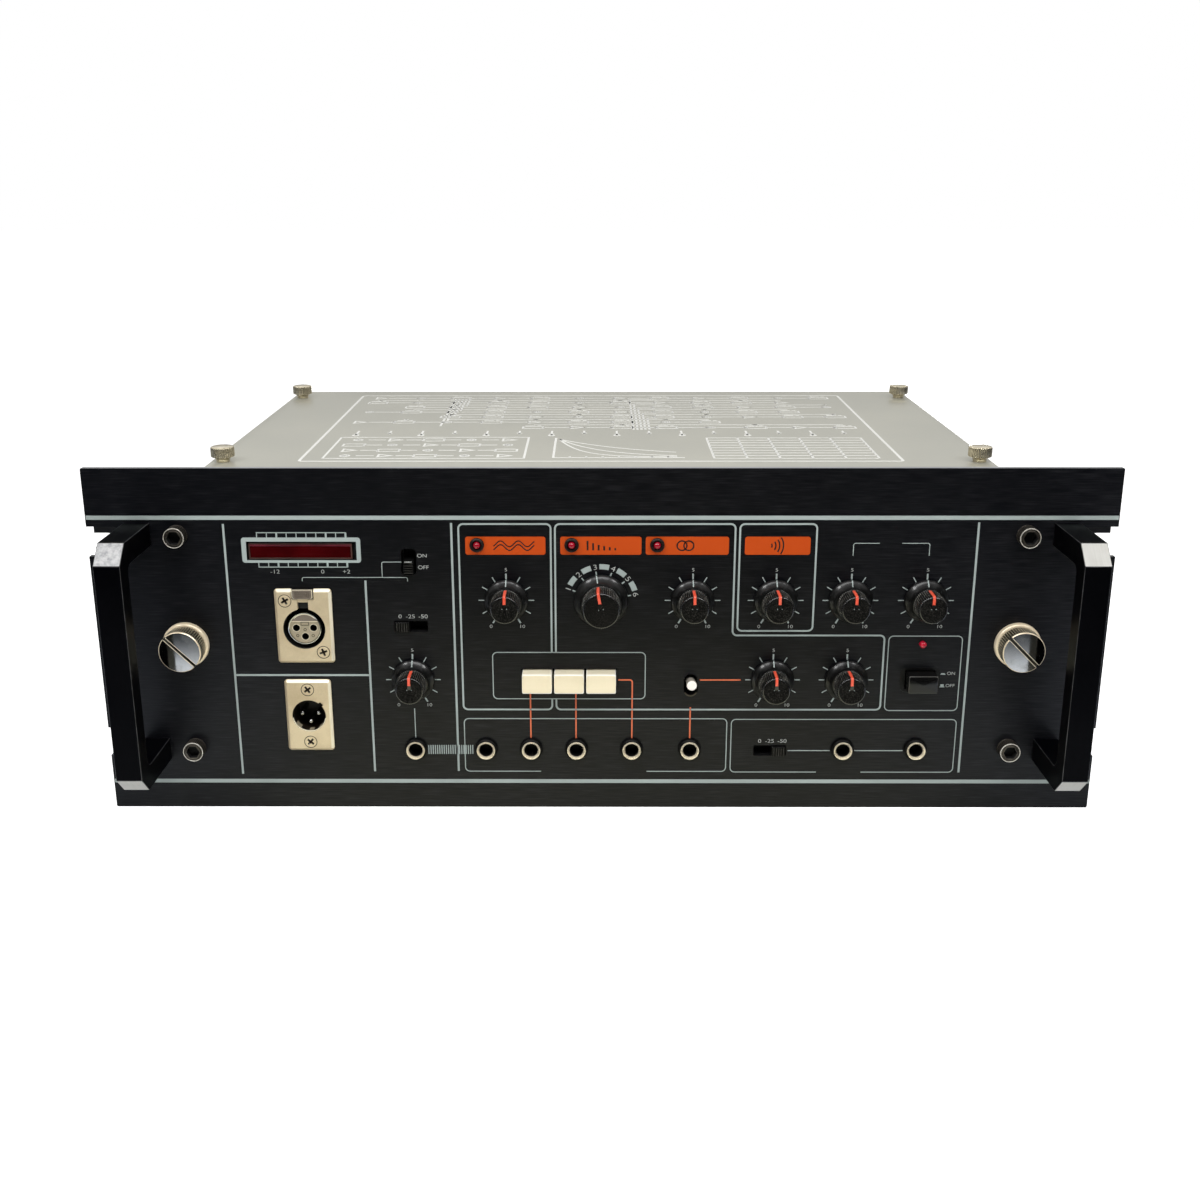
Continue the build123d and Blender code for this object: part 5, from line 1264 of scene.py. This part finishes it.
def on_face(path, width, low, high):
    """A raised line round a closed path on the insert's recessed face."""
    line = ribbon(path, width, face_out - low, face_out + high, True)
    return placed(line, insert_x, insert_up)


# Bright rings round the contact holes, painted highlights.
rings = [on_face(arc_path(x, up, 1.82, 0, 345, 24), 0.2, 0.2, 0.06) for x, up in contact_places]
signs = [on_face(arc_path(x, up, 0.62, 0, 330, 12), 0.26, 0.1, 0.03)
         for x, up in ((0, -0.9), (-3.7, -3.9), (3.7, -3.9))]
signs += [on_face(box_path(-1.8, 1.8, 1.3, 2.9), 0.26, 0.1, 0.03)]
piece("contact_hole_painted_highlights", "case", [nickel_painted_highlight], rings, slot="input_socket_insert")
piece("contact_marks", "case", [recess_shade_and_mark_brown], signs, slot="input_socket_insert")
insert_body = carved(turned(ring_profile, 72), drills)
piece("input_socket_contacts", "case", [chrome, insert_face_and_wall_light, painted_shade_black],
      [placed(insert_body, insert_x, insert_up)], ("input_socket_insert",), choose=insert_choice)
piece("input_socket_bridge", "case", [latch_grey], [placed(bridge, insert_x, insert_up)],
      slot="input_socket_insert", bevel=0.1)
# Bright lines along the bridge's lower edge and its top arc, painted highlights.
edge_low, crest_arc = insert_front - 0.8, arc_path(0, 0, ring_inner - 0.35, -46, 46, 20)
bridge_highlight_lines = (ribbon(chord, 0.35, edge_low, insert_front - 0.38),
              ribbon(crest_arc, 0.4, edge_low, insert_front - 0.36))
piece("bridge_painted_highlights", "case", [nickel_painted_highlight],
      [placed(line, insert_x, insert_up) for line in bridge_highlight_lines], slot="input_socket_insert")
print("insert front stands", round(insert_front, 2), "mm out of the panel")

# %% [markdown]
# ## Screws
# Three kinds of turned screws hold the unit: knurled cap screws with a hexagon socket, big slotted
# thumbscrews for the rack, and knurled thumbscrews in the lid. All are profiles with a knurl where
# fingers go. Sockets and slots are cut with the same Boolean helper as the knobs' grooves.

# %% Cap screws
def hexagon(radius):
    """A regular hexagon's path."""
    angle = np.arange(6) * math.pi / 3
    return np.column_stack((radius * np.cos(angle), radius * np.sin(angle)))


def head_or_socket(centres, normals):
    """Finish 1 down the hexagon socket of the cap screws, black as painted shade, 0 elsewhere."""
    out = outward(centres)
    radius = np.hypot(np.abs(centres[:, 0]) - thumb_x, np.abs(centres[:, 2]) - cap_up)
    return np.where((radius < 3.4) & (out > 2.0) & (out < 5.9), 1, 0)


cap_profile = [
    (0, -11.5), (2.6, -11.5), (3.0, -11.0), (3.0, 0.0), (4.9, 0.0), (5.0, 0.15, 1.0),
    (5.0, 5.1, 1.0), (4.8, 5.45, 0.3), (4.6, 5.8), (4.3, 5.95), (4.15, 5.6), (3.85, 5.6),
    (3.75, 5.9), (3.6, 6.0), (0, 6.0),
]
cap_screw = carved(turned(cap_profile, 192, 32, 0.35), [slab(hexagon(3.35), 2.5, 8.0)])
rear_profile = [(0, -7.8), (3.9, -7.8), (4.5, -7.3), (4.5, -5.0), (2.5, -5.0), (2.5, 11.7),
                (0, 11.7)]
rear_screw = carved(turned(rear_profile, 48), [slab(hexagon(1.75), -10.0, -6.2)])
thumb_x, cap_up = extent("right_thumbscrew")[0][0] + 11.0, 54.0
handle_x, rear_up = (extent("panel_handles")[1][0] + 211.5) / 2, 54.5
corners = [(across, up) for across in (-1, 1) for up in (-1, 1)]
screws = [placed(cap_screw, i * thumb_x, k * cap_up) for i, k in corners]
screws += [placed(rear_screw, i * handle_x, k * rear_up) for i, k in corners]
piece("corner_screws", "case", [dark_nickel_and_painted_shade, painted_shade_black], screws, ("panel_fasteners",),
      choose=head_or_socket, angle=50)
# Two thin bright rings on each cap screw's top, painted highlights.
rim_highlights = [placed(ribbon(arc_path(0, 0, radius, 0, 350, 36), width, 5.4, 5.98, True),
               i * thumb_x, k * cap_up)
        for i, k in corners for radius, width in ((4.68, 0.34), (3.5, 0.3))]
piece("corner_screw_painted_rim_highlights", "case", [screw_rim_painted_highlight], rim_highlights, slot="panel_fasteners", bevel=0.08)
print(len(screws), "screws at the corners and in the handles")

# %% Rack thumbscrews
thumb_top = 12.4
thumb_profile = [
    (0, -18.5), (2.5, -18.5), (3.0, -18.0), (3.0, 0.0), (10.7, 0.0), (11.0, 0.3), (11.0, 2.2),
    (10.8, 2.6), (10.3, 3.0), (9.9, 3.1), (10.0, 3.3, 1.0), (10.0, thumb_top - 1.2, 1.0),
    (10.0, thumb_top - 1.0), (9.95, thumb_top - 0.35), (9.6, thumb_top), (0, thumb_top),
]
thumb_slot = slab(box_path(-0.95, 0.95, -12.0, 12.0), thumb_top - 1.5, thumb_top + 1)
thumb_shape = carved(turned(thumb_profile, 416, 52, 0.8), [thumb_slot])


def face_knurl_or_collar(centres, normals):
    """Finish 1 on the knurl's crests, 3 down between them and in the slot, a darker nickel as
    painted shade, 2 on the collar and on the face's rim, where it is a painted highlight, 0 on the
    polished face."""
    out, slope = outward(centres), np.abs(normals[:, 1])
    radius = np.hypot(np.abs(centres[:, 0]) - thumb_x, centres[:, 2])
    rim = (out > thumb_top - 1.1) & (normals[:, 1] > -0.95) & (slope > 0.02)
    side = out < thumb_top - 0.8
    return np.select([(out < 3.2) | rim, side & (radius > 9.66), side], [2, 1, 3], 0)


for node, x in (("left_thumbscrew", -thumb_x), ("right_thumbscrew", thumb_x)):
    piece(f"{node}_turned", node, [chrome, knurled, collar_plating_and_rim_highlight, dark_nickel_and_painted_shade],
          [placed(thumb_shape, x, 0, turn=45.0)], (node,), choose=face_knurl_or_collar)
    # Painted highlights: bright lines along both edges of the slot.
    edges = [placed(ribbon([(side, -9.4), (side, 9.4)], 0.35, thumb_top - 0.3, thumb_top - 0.01),
                    x, 0, turn=45.0) for side in (-0.85, 0.85)]
    piece(f"{node}_slot_painted_highlights", node, [nickel_painted_highlight], edges, slot=node)
print("thumbscrews at", round(thumb_x, 1), "mm either side")

# %% [markdown]
# ## Handles
# Each handle is one black bar bent at right angles, with its outer corners cut off at 45 degrees
# after anodising. The cut faces are bare, bright metal, the upper left one scuffed. The long edges
# are rubbed a little paler than the faces, so the rounded edges take a finish of their own.

# %% Handles
handle_black = finish("satin_black_bar", (1, 1, 3), (7, 7, 10), 0.34, grain=1600, patch=22,
                      patch_share=0.5, spread=0.2, bump=0.12, Specular_IOR_Level=0.06)
handle_edge = finish("rubbed_bar_edge", (26, 26, 28), (84, 84, 86), 0.4, grain=1200, patch=160,
                     grain_share=0.6, patch_share=0.7, bump=0.1)
cut_bright = finish("bright_cut_corner", (194, 193, 188), (166, 164, 158), 0.4, 0.25, grain=1400,
                    stretch=(1, 0.05, 0.05), patch=80, grain_share=0.8, bump=0.1)
cut_scuffed = finish("scuffed_cut_corner", (186, 186, 186), (96, 98, 104), 0.42, 0.25, grain=1100,
                     patch=420, grain_share=0.9, patch_share=0.5, bump=0.25)


def corner_cuts(centres, normals):
    """Finish 1 on the 45 degree faces, 2 on the scuffed one at the upper left, 0 elsewhere."""
    cut = (np.abs(normals[:, 1] + 0.707) < 0.05) & (np.abs(np.abs(normals[:, 2]) - 0.707) < 0.05)
    return np.where(cut, np.where((normals[:, 2] > 0) & (centres[:, 0] < 0), 2, 1), 0)


dressed("panel_handles", "case", [handle_black, cut_bright, cut_scuffed, handle_edge], corner_cuts,
        bevel=0.25, edge=3)
print("handles reach", round(-extent("panel_handles")[0][1], 1), "mm in front")

# %% [markdown]
# ## Case and lid
# The tray and lid are folded sheet with a satin metallic grey coat. On the lid a pale line drawing
# shows a signal path: a plain diagram of boxes, amplifiers, mixers and arrows without words,
# printed as the same kind of ribbons.

# %% Case, lid, feet and inlet
lid_grey = finish("satin_grey_coat", (191, 190, 178), (205, 203, 190), 0.36, 0.4,
                  stretch=(0.15, 1, 1), patch=14, grain_share=1.0, patch_share=0.4, bump=0.25,
                  depth=0.03)
tray_grey = finish("plain_zinc_grey", (118, 119, 118), (100, 102, 102), 0.42, 0.5, grain=1800,
                   patch=12, grain_share=0.6, patch_share=0.35, bump=0.2)
rubber = finish("black_rubber", (26, 26, 26), (44, 43, 42), 0.75, patch=60, bump=0.4)
inlet_black = finish("inlet_moulding", (18, 18, 18), (40, 40, 38), 0.45, patch=120, bump=0.2)
dressed("top_lid", "top_lid", [lid_grey])
dressed("chassis_tray", "case", [tray_grey])
dressed("rubber_feet", "case", [rubber], bevel=0.5)
inlet_low, inlet_high = extent("mains_inlet")
inlet_x, _, inlet_up = (inlet_low + inlet_high) / 2


def shell_or_pins(centres, normals):
    """Finish 1 on the three pins, which stand clear of the shell's walls; 0 on the shell."""
    near = (np.abs(centres[:, 0] - inlet_x) < 8.3) & (np.abs(centres[:, 2] - inlet_up) < 6.0)
    deep = (centres[:, 1] > inlet_low[1] + 3.2) & (centres[:, 1] < inlet_high[1] - 3.0)
    return np.where(near & deep, 1, 0)


dressed("mains_inlet", "case", [inlet_black, silver], shell_or_pins)
lid_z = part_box("top_lid")[1].z
print("lid top at", round(lid_z, 4), "m")

# %% Signs of the diagram on the lid
LID_LINE, BORDER_LINE = 1.3, 1.6


def drawn(path, width=LID_LINE, closed=False):
    """A printed line on the lid."""
    return placed(ribbon(path, width, INK_LOW, INK_HIGH, closed), 0, 0, LEVEL, (0, 0, lid_z))


def station(kind, x, y, size=6.0):
    """One sign of the diagram: a box, an amplifier's triangle or a mixer's ring with its cross."""
    if kind == "box":
        tall = size * 0.55
        return [drawn(box_path(x - size, x + size, y - tall, y + tall), closed=True)]
    if kind == "amplifier":
        half = size * 0.6
        return [drawn([(x - half, y - half), (x + half, y), (x - half, y + half)], closed=True)]
    arm = size * 0.26
    return [drawn(arc_path(x, y, size * 0.4, 0, 345, 24), closed=True),
            drawn([(x - arm, y - arm), (x + arm, y + arm)]),
            drawn([(x - arm, y + arm), (x + arm, y - arm)])]


def arrow(x, low, high):
    """A line down from high to low with an arrow head at its foot."""
    return [drawn([(x, high), (x, low)]),
            drawn([(x - 1.3, low + 2.6), (x, low), (x + 1.3, low + 2.6)])]


def link(start, end, y):
    """A line across from start to end with an arrow head at its end."""
    return [drawn([(start, y), (end, y)]),
            drawn([(end - 2.2, y + 1.2), (end, y), (end - 2.2, y - 1.2)])]


print("a mixer's sign has", len(station("mixer", 0, 0)), "lines")

# %% Signal rows on the lid
kinds = {"b": ("box", 6.0), "a": ("amplifier", 3.6), "m": ("mixer", 2.4)}
signal_rows = ("ambabmababmb", "bmabbmbabba", "babbambbabm", "mbabmbabmbb", "bbambbmabb",
               "abmbabbmb", "babbmbab")
ROW_TOP, ROW_PITCH, ROW_END, STATION_PITCH = 309.0, 18.0, 149.0, 27.0
row_y = ROW_TOP - ROW_PITCH * np.arange(len(signal_rows))
lid_lines = [drawn(box_path(-163.5, 163.5, 102.5, 320.0, 2.0), BORDER_LINE, True)]
station_x = []
for number, (y, row) in enumerate(zip(row_y, signal_rows)):
    free = STATION_PITCH * (12 - len(row))
    ends = (-ROW_END, ROW_END - free) if number % 2 else (-ROW_END + free, ROW_END)
    spread = np.linspace(*ends, len(row))
    station_x.append(spread)
    for x, letter in zip(spread, row):
        lid_lines += station(kinds[letter][0], x, y)
        if letter == "b":
            lid_lines += [drawn([(x + start, y + 5.6), (x + end, y + 5.6)])
                          for start, end in ((-5.0, 1.0), (2.4, 4.6))]
    for x, letter, after, next_letter in zip(spread, row, spread[1:], row[1:]):
        lid_lines += link(x + kinds[letter][1], after - kinds[next_letter][1], y)
for number, (upper, lower) in enumerate(zip(row_y, row_y[1:])):
    above, below = station_x[number], station_x[number + 1]
    for x in below[number % 3::3]:
        lid_lines += arrow(x, lower + 7.4, upper - 9.0)
    lid_lines += [drawn([(max(above[0], below[0]), upper - 9.0), (below[-1], upper - 9.0)])]
for wire in range(5):
    x, up, left = 20.0 + 2.4 * wire, row_y[wire] - 4.5, -98.0 + 2.4 * wire
    lid_lines += [drawn([(x, 194.0), (x, up)]), drawn([(x, up), (36.0, up)]),
                  drawn([(left, row_y[6 - wire] + 4.5), (left, 307.0)])]
for number, x in enumerate(np.linspace(-145, 145, 16)):
    lid_lines += arrow(x, 178.0 + 3.0 * (number % 2), 190.0)
    if number % 2 == 0:
        lid_lines += [drawn(arc_path(x, 176.0, 1.6, 0, 330, 12), closed=True)]
print(sum(len(row) for row in signal_rows), "signs in", len(signal_rows), "rows")

# %% Table, stations and graph on the lid
left, right, low, high, rows = 62.0, 152.0, 110.0, 168.0, 8
lid_lines += [drawn(box_path(left, right, low, high), closed=True)]
for y in low + np.arange(1, rows) * (high - low) / rows:
    lid_lines += [drawn([(left, y), (right, y)])]
lid_lines += [drawn([(x, low), (x, high)]) for x in (80.0, 98.0, 116.0, 134.0)]
lid_lines += [drawn(box_path(-152, -42, 110, 170), closed=True)]
for row in range(4):
    for column in range(5):
        x, y = -141 + 22 * column, 117 + 15 * row
        lid_lines += station(("mixer", "amplifier", "box")[(row + column) % 3], x, y)
        if column:
            lid_lines += [drawn([(x - 16, y), (x - 6, y)])]
lid_lines += [drawn([(-26.0, 168.0), (-26.0, 112.0), (46.0, 112.0)])]
decay = np.linspace(0, 66, 24)
lid_lines += [drawn(np.column_stack((-24 + decay, 114 + 50 * np.exp(-decay / length))))
              for length in (12, 24, 48)]
lid_lines += [drawn([(-26 + 9 * tick, 112), (-26 + 9 * tick, 115)]) for tick in range(1, 8)]
lid_ink = finish("pale_lid_ink", (255, 255, 250), (228, 228, 222), grain=3000, patch=25,
                 grain_share=0.6, patch_share=0.4, bump=0.1, Specular_IOR_Level=0.3)
piece("lid_diagram", "top_lid", [lid_ink], lid_lines, slot="top_lid")
print(len(lid_lines), "lines on the lid")

# %% Lid screws
nickel = finish("polished_nickel", (224, 214, 188), (150, 140, 116), 0.2, 0.95, grain=900,
                patch=160, patch_share=0.6, spread=0.25, bump=0.1)
lid_screw_profile = [
    (0, -7.2), (1.7, -7.2), (2.0, -6.9), (2.0, 0.0), (3.6, 0.0), (3.6, 0.9), (3.75, 1.5),
    (4.6, 2.3), (5.4, 2.75), (6.1, 2.9), (6.3, 3.2, 1.0), (6.3, 7.6, 1.0), (6.1, 8.0, 0.3),
    (5.6, 8.3), (4.2, 8.5), (2.2, 8.58), (0, 8.6),
]
lid_screw = turned(lid_screw_profile, 180, 36, 0.45)
for node in (f"lid_screw_{number}" for number in range(1, 5)):
    low, high = extent(node)
    x, y, _ = (low + high) / 2
    seated = placed(lid_screw, x, y, LEVEL, (0, 0, lid_z))
    piece(f"{node}_turned", node, [nickel], [seated], (node,), angle=50)
print("lid screws stand", round(high[2] - lid_z / MM, 1), "mm above the lid")

# %% [markdown]
# ## Inside the case
# The lid comes off, so the works get finishes of their own: a plated deck, brown tape, screened
# heads, a clear cover, a rubber belt, a green board and a varnished coil. Most are dressed copies.
# The reverb springs are real helices: a circle carried along a screw line.

# %% Deck, tape and drive
deck_plate = finish("passivated_deck_steel", (168, 166, 150), (140, 138, 120), 0.34, 0.85,
                    stretch=BRUSHED_ACROSS, patch=20, bump=0.15)
tape_brown = finish("brown_tape", (58, 38, 26), (74, 50, 34), 0.3, patch=60)
head_metal = finish("head_shield", (176, 176, 172), (130, 130, 128), 0.24, 1.0, patch=150,
                    bump=0.08)
steel = finish("ground_steel", (190, 190, 188), (140, 140, 138), 0.2, 1.0, grain=1600, patch=90,
               stretch=(1, 1, 0.05), bump=0.1)
motor_grey = finish("motor_can", (120, 122, 124), (90, 92, 94), 0.3, 0.9, patch=70, bump=0.1)
belt_black = finish("rubber_belt", (22, 22, 22), (40, 40, 40), 0.65, patch=200, bump=0.3)
roller_black = finish("roller_rubber", (30, 30, 31), (52, 52, 52), 0.6, patch=200, bump=0.3)
clear = finish("clear_acrylic", (236, 240, 238), (216, 224, 220), 0.05, grain=400, patch=20,
               spread=0.05, bump=0.01, Transmission_Weight=0.95, IOR=1.49)
guide_nylon = finish("white_nylon", (222, 220, 210), (196, 192, 180), 0.4, patch=150, bump=0.1)
for node, body, material, edge in (
    ("tape_deck", "case", deck_plate, 0.2), ("tape_loop", "case", tape_brown, 0.0),
    ("tape_heads", "case", head_metal, 0.3), ("tape_guides", "case", guide_nylon, 0.25),
    ("tank_cover", "case", clear, 0.3), ("capstan_flywheel", "capstan_flywheel", steel, 0.0),
    ("drive_motor", "case", motor_grey, 0.0), ("motor_pulley", "motor_pulley", steel, 0.0),
    ("drive_belt", "case", belt_black, 0.15), ("pinch_roller", "pinch_roller", roller_black, 0.3),
    ("pinch_arm", "pinch_arm", steel, 0.2),
):
    dressed(node, body, [material], bevel=edge)
print("deck and drive dressed")

# %% Reverb tank, board, transformer and controls
tank_steel = finish("tank_steel", (150, 152, 154), (116, 118, 120), 0.35, 0.9, bump=0.15)
board_green = finish("green_board", (28, 84, 52), (44, 116, 70), 0.35, grain=260, patch=60,
                     grain_share=1.5, bump=0.1, Coat_Weight=0.2)
can_blue = finish("capacitor_sleeve", (34, 48, 96), (52, 68, 120), 0.35, patch=120)
lamination = finish("lamination_stack", (70, 68, 66), (38, 36, 34), 0.45, 0.8, grain=900,
                    stretch=(0.01, 1, 0.01), grain_share=1.5, bump=0.5)
coil_tape = finish("varnished_coil", (176, 132, 52), (140, 98, 36), 0.35, grain=700,
                   stretch=(0.02, 0.02, 1), patch=90, grain_share=1.0, bump=0.3, Coat_Weight=0.3)
pot_metal = finish("control_can", (160, 158, 148), (120, 118, 108), 0.3, 0.95, patch=120, bump=0.1)
board_top = extent("main_board")[0][2] + 1.7
core_y = sum(corner[1] for corner in extent("power_transformer")) / 2
dressed("reverb_tank", "case", [tank_steel])
dressed("main_board", "case", [board_green, can_blue],
        lambda centres, normals: np.where(centres[:, 2] > board_top, 1, 0))
dressed("power_transformer", "case", [lamination, coil_tape],
        lambda centres, normals: np.where(np.abs(centres[:, 1] - core_y) > 15.2, 1, 0), bevel=0.3)
dressed("potentiometers", "case", [pot_metal], bevel=0.15)
print("the board's parts stand above", round(board_top, 1), "mm")

# %% Reverb springs
def helix(low_x, high_x, y, z, radius, turns, wire, steps=24, around=8):
    """A coil spring: a circle of the wire's radius in the plane of each ray and the axis, carried
    along (x, radius cos a, radius sin a) while a grows evenly with x. Its wall and its two ends."""
    count = turns * steps
    along = np.linspace(0, 1, count)[:, None]
    ring = np.linspace(0, 2 * math.pi, around, endpoint=False)[None, :]
    angle = along * turns * 2 * math.pi
    away = radius - wire + wire * np.cos(ring)
    x = low_x + wire + along * (high_x - low_x - 2 * wire) + wire * np.sin(ring)
    points = np.stack((x, y + away * np.cos(angle), z + away * np.sin(angle)), -1)
    points = points.reshape(-1, 3) * MM
    ends = np.arange(around) + np.array([[0], [count - 1]]) * around
    return [(points, grid_faces(count, around, False, True)), (points, ends)]


spring_low, spring_high = extent("reverb_springs")
spring_up, spring_radius = (spring_low + spring_high)[2] / 2, (spring_high - spring_low)[2] / 2
springs = []
for y in (spring_low[1] + spring_radius, spring_high[1] - spring_radius):
    springs += helix(spring_low[0], spring_high[0], y, spring_up, spring_radius, 70, wire=0.45)
piece("reverb_spring_coils", "case", [steel], springs, ("reverb_springs",))
print("springs of radius", round(spring_radius, 2), "mm")
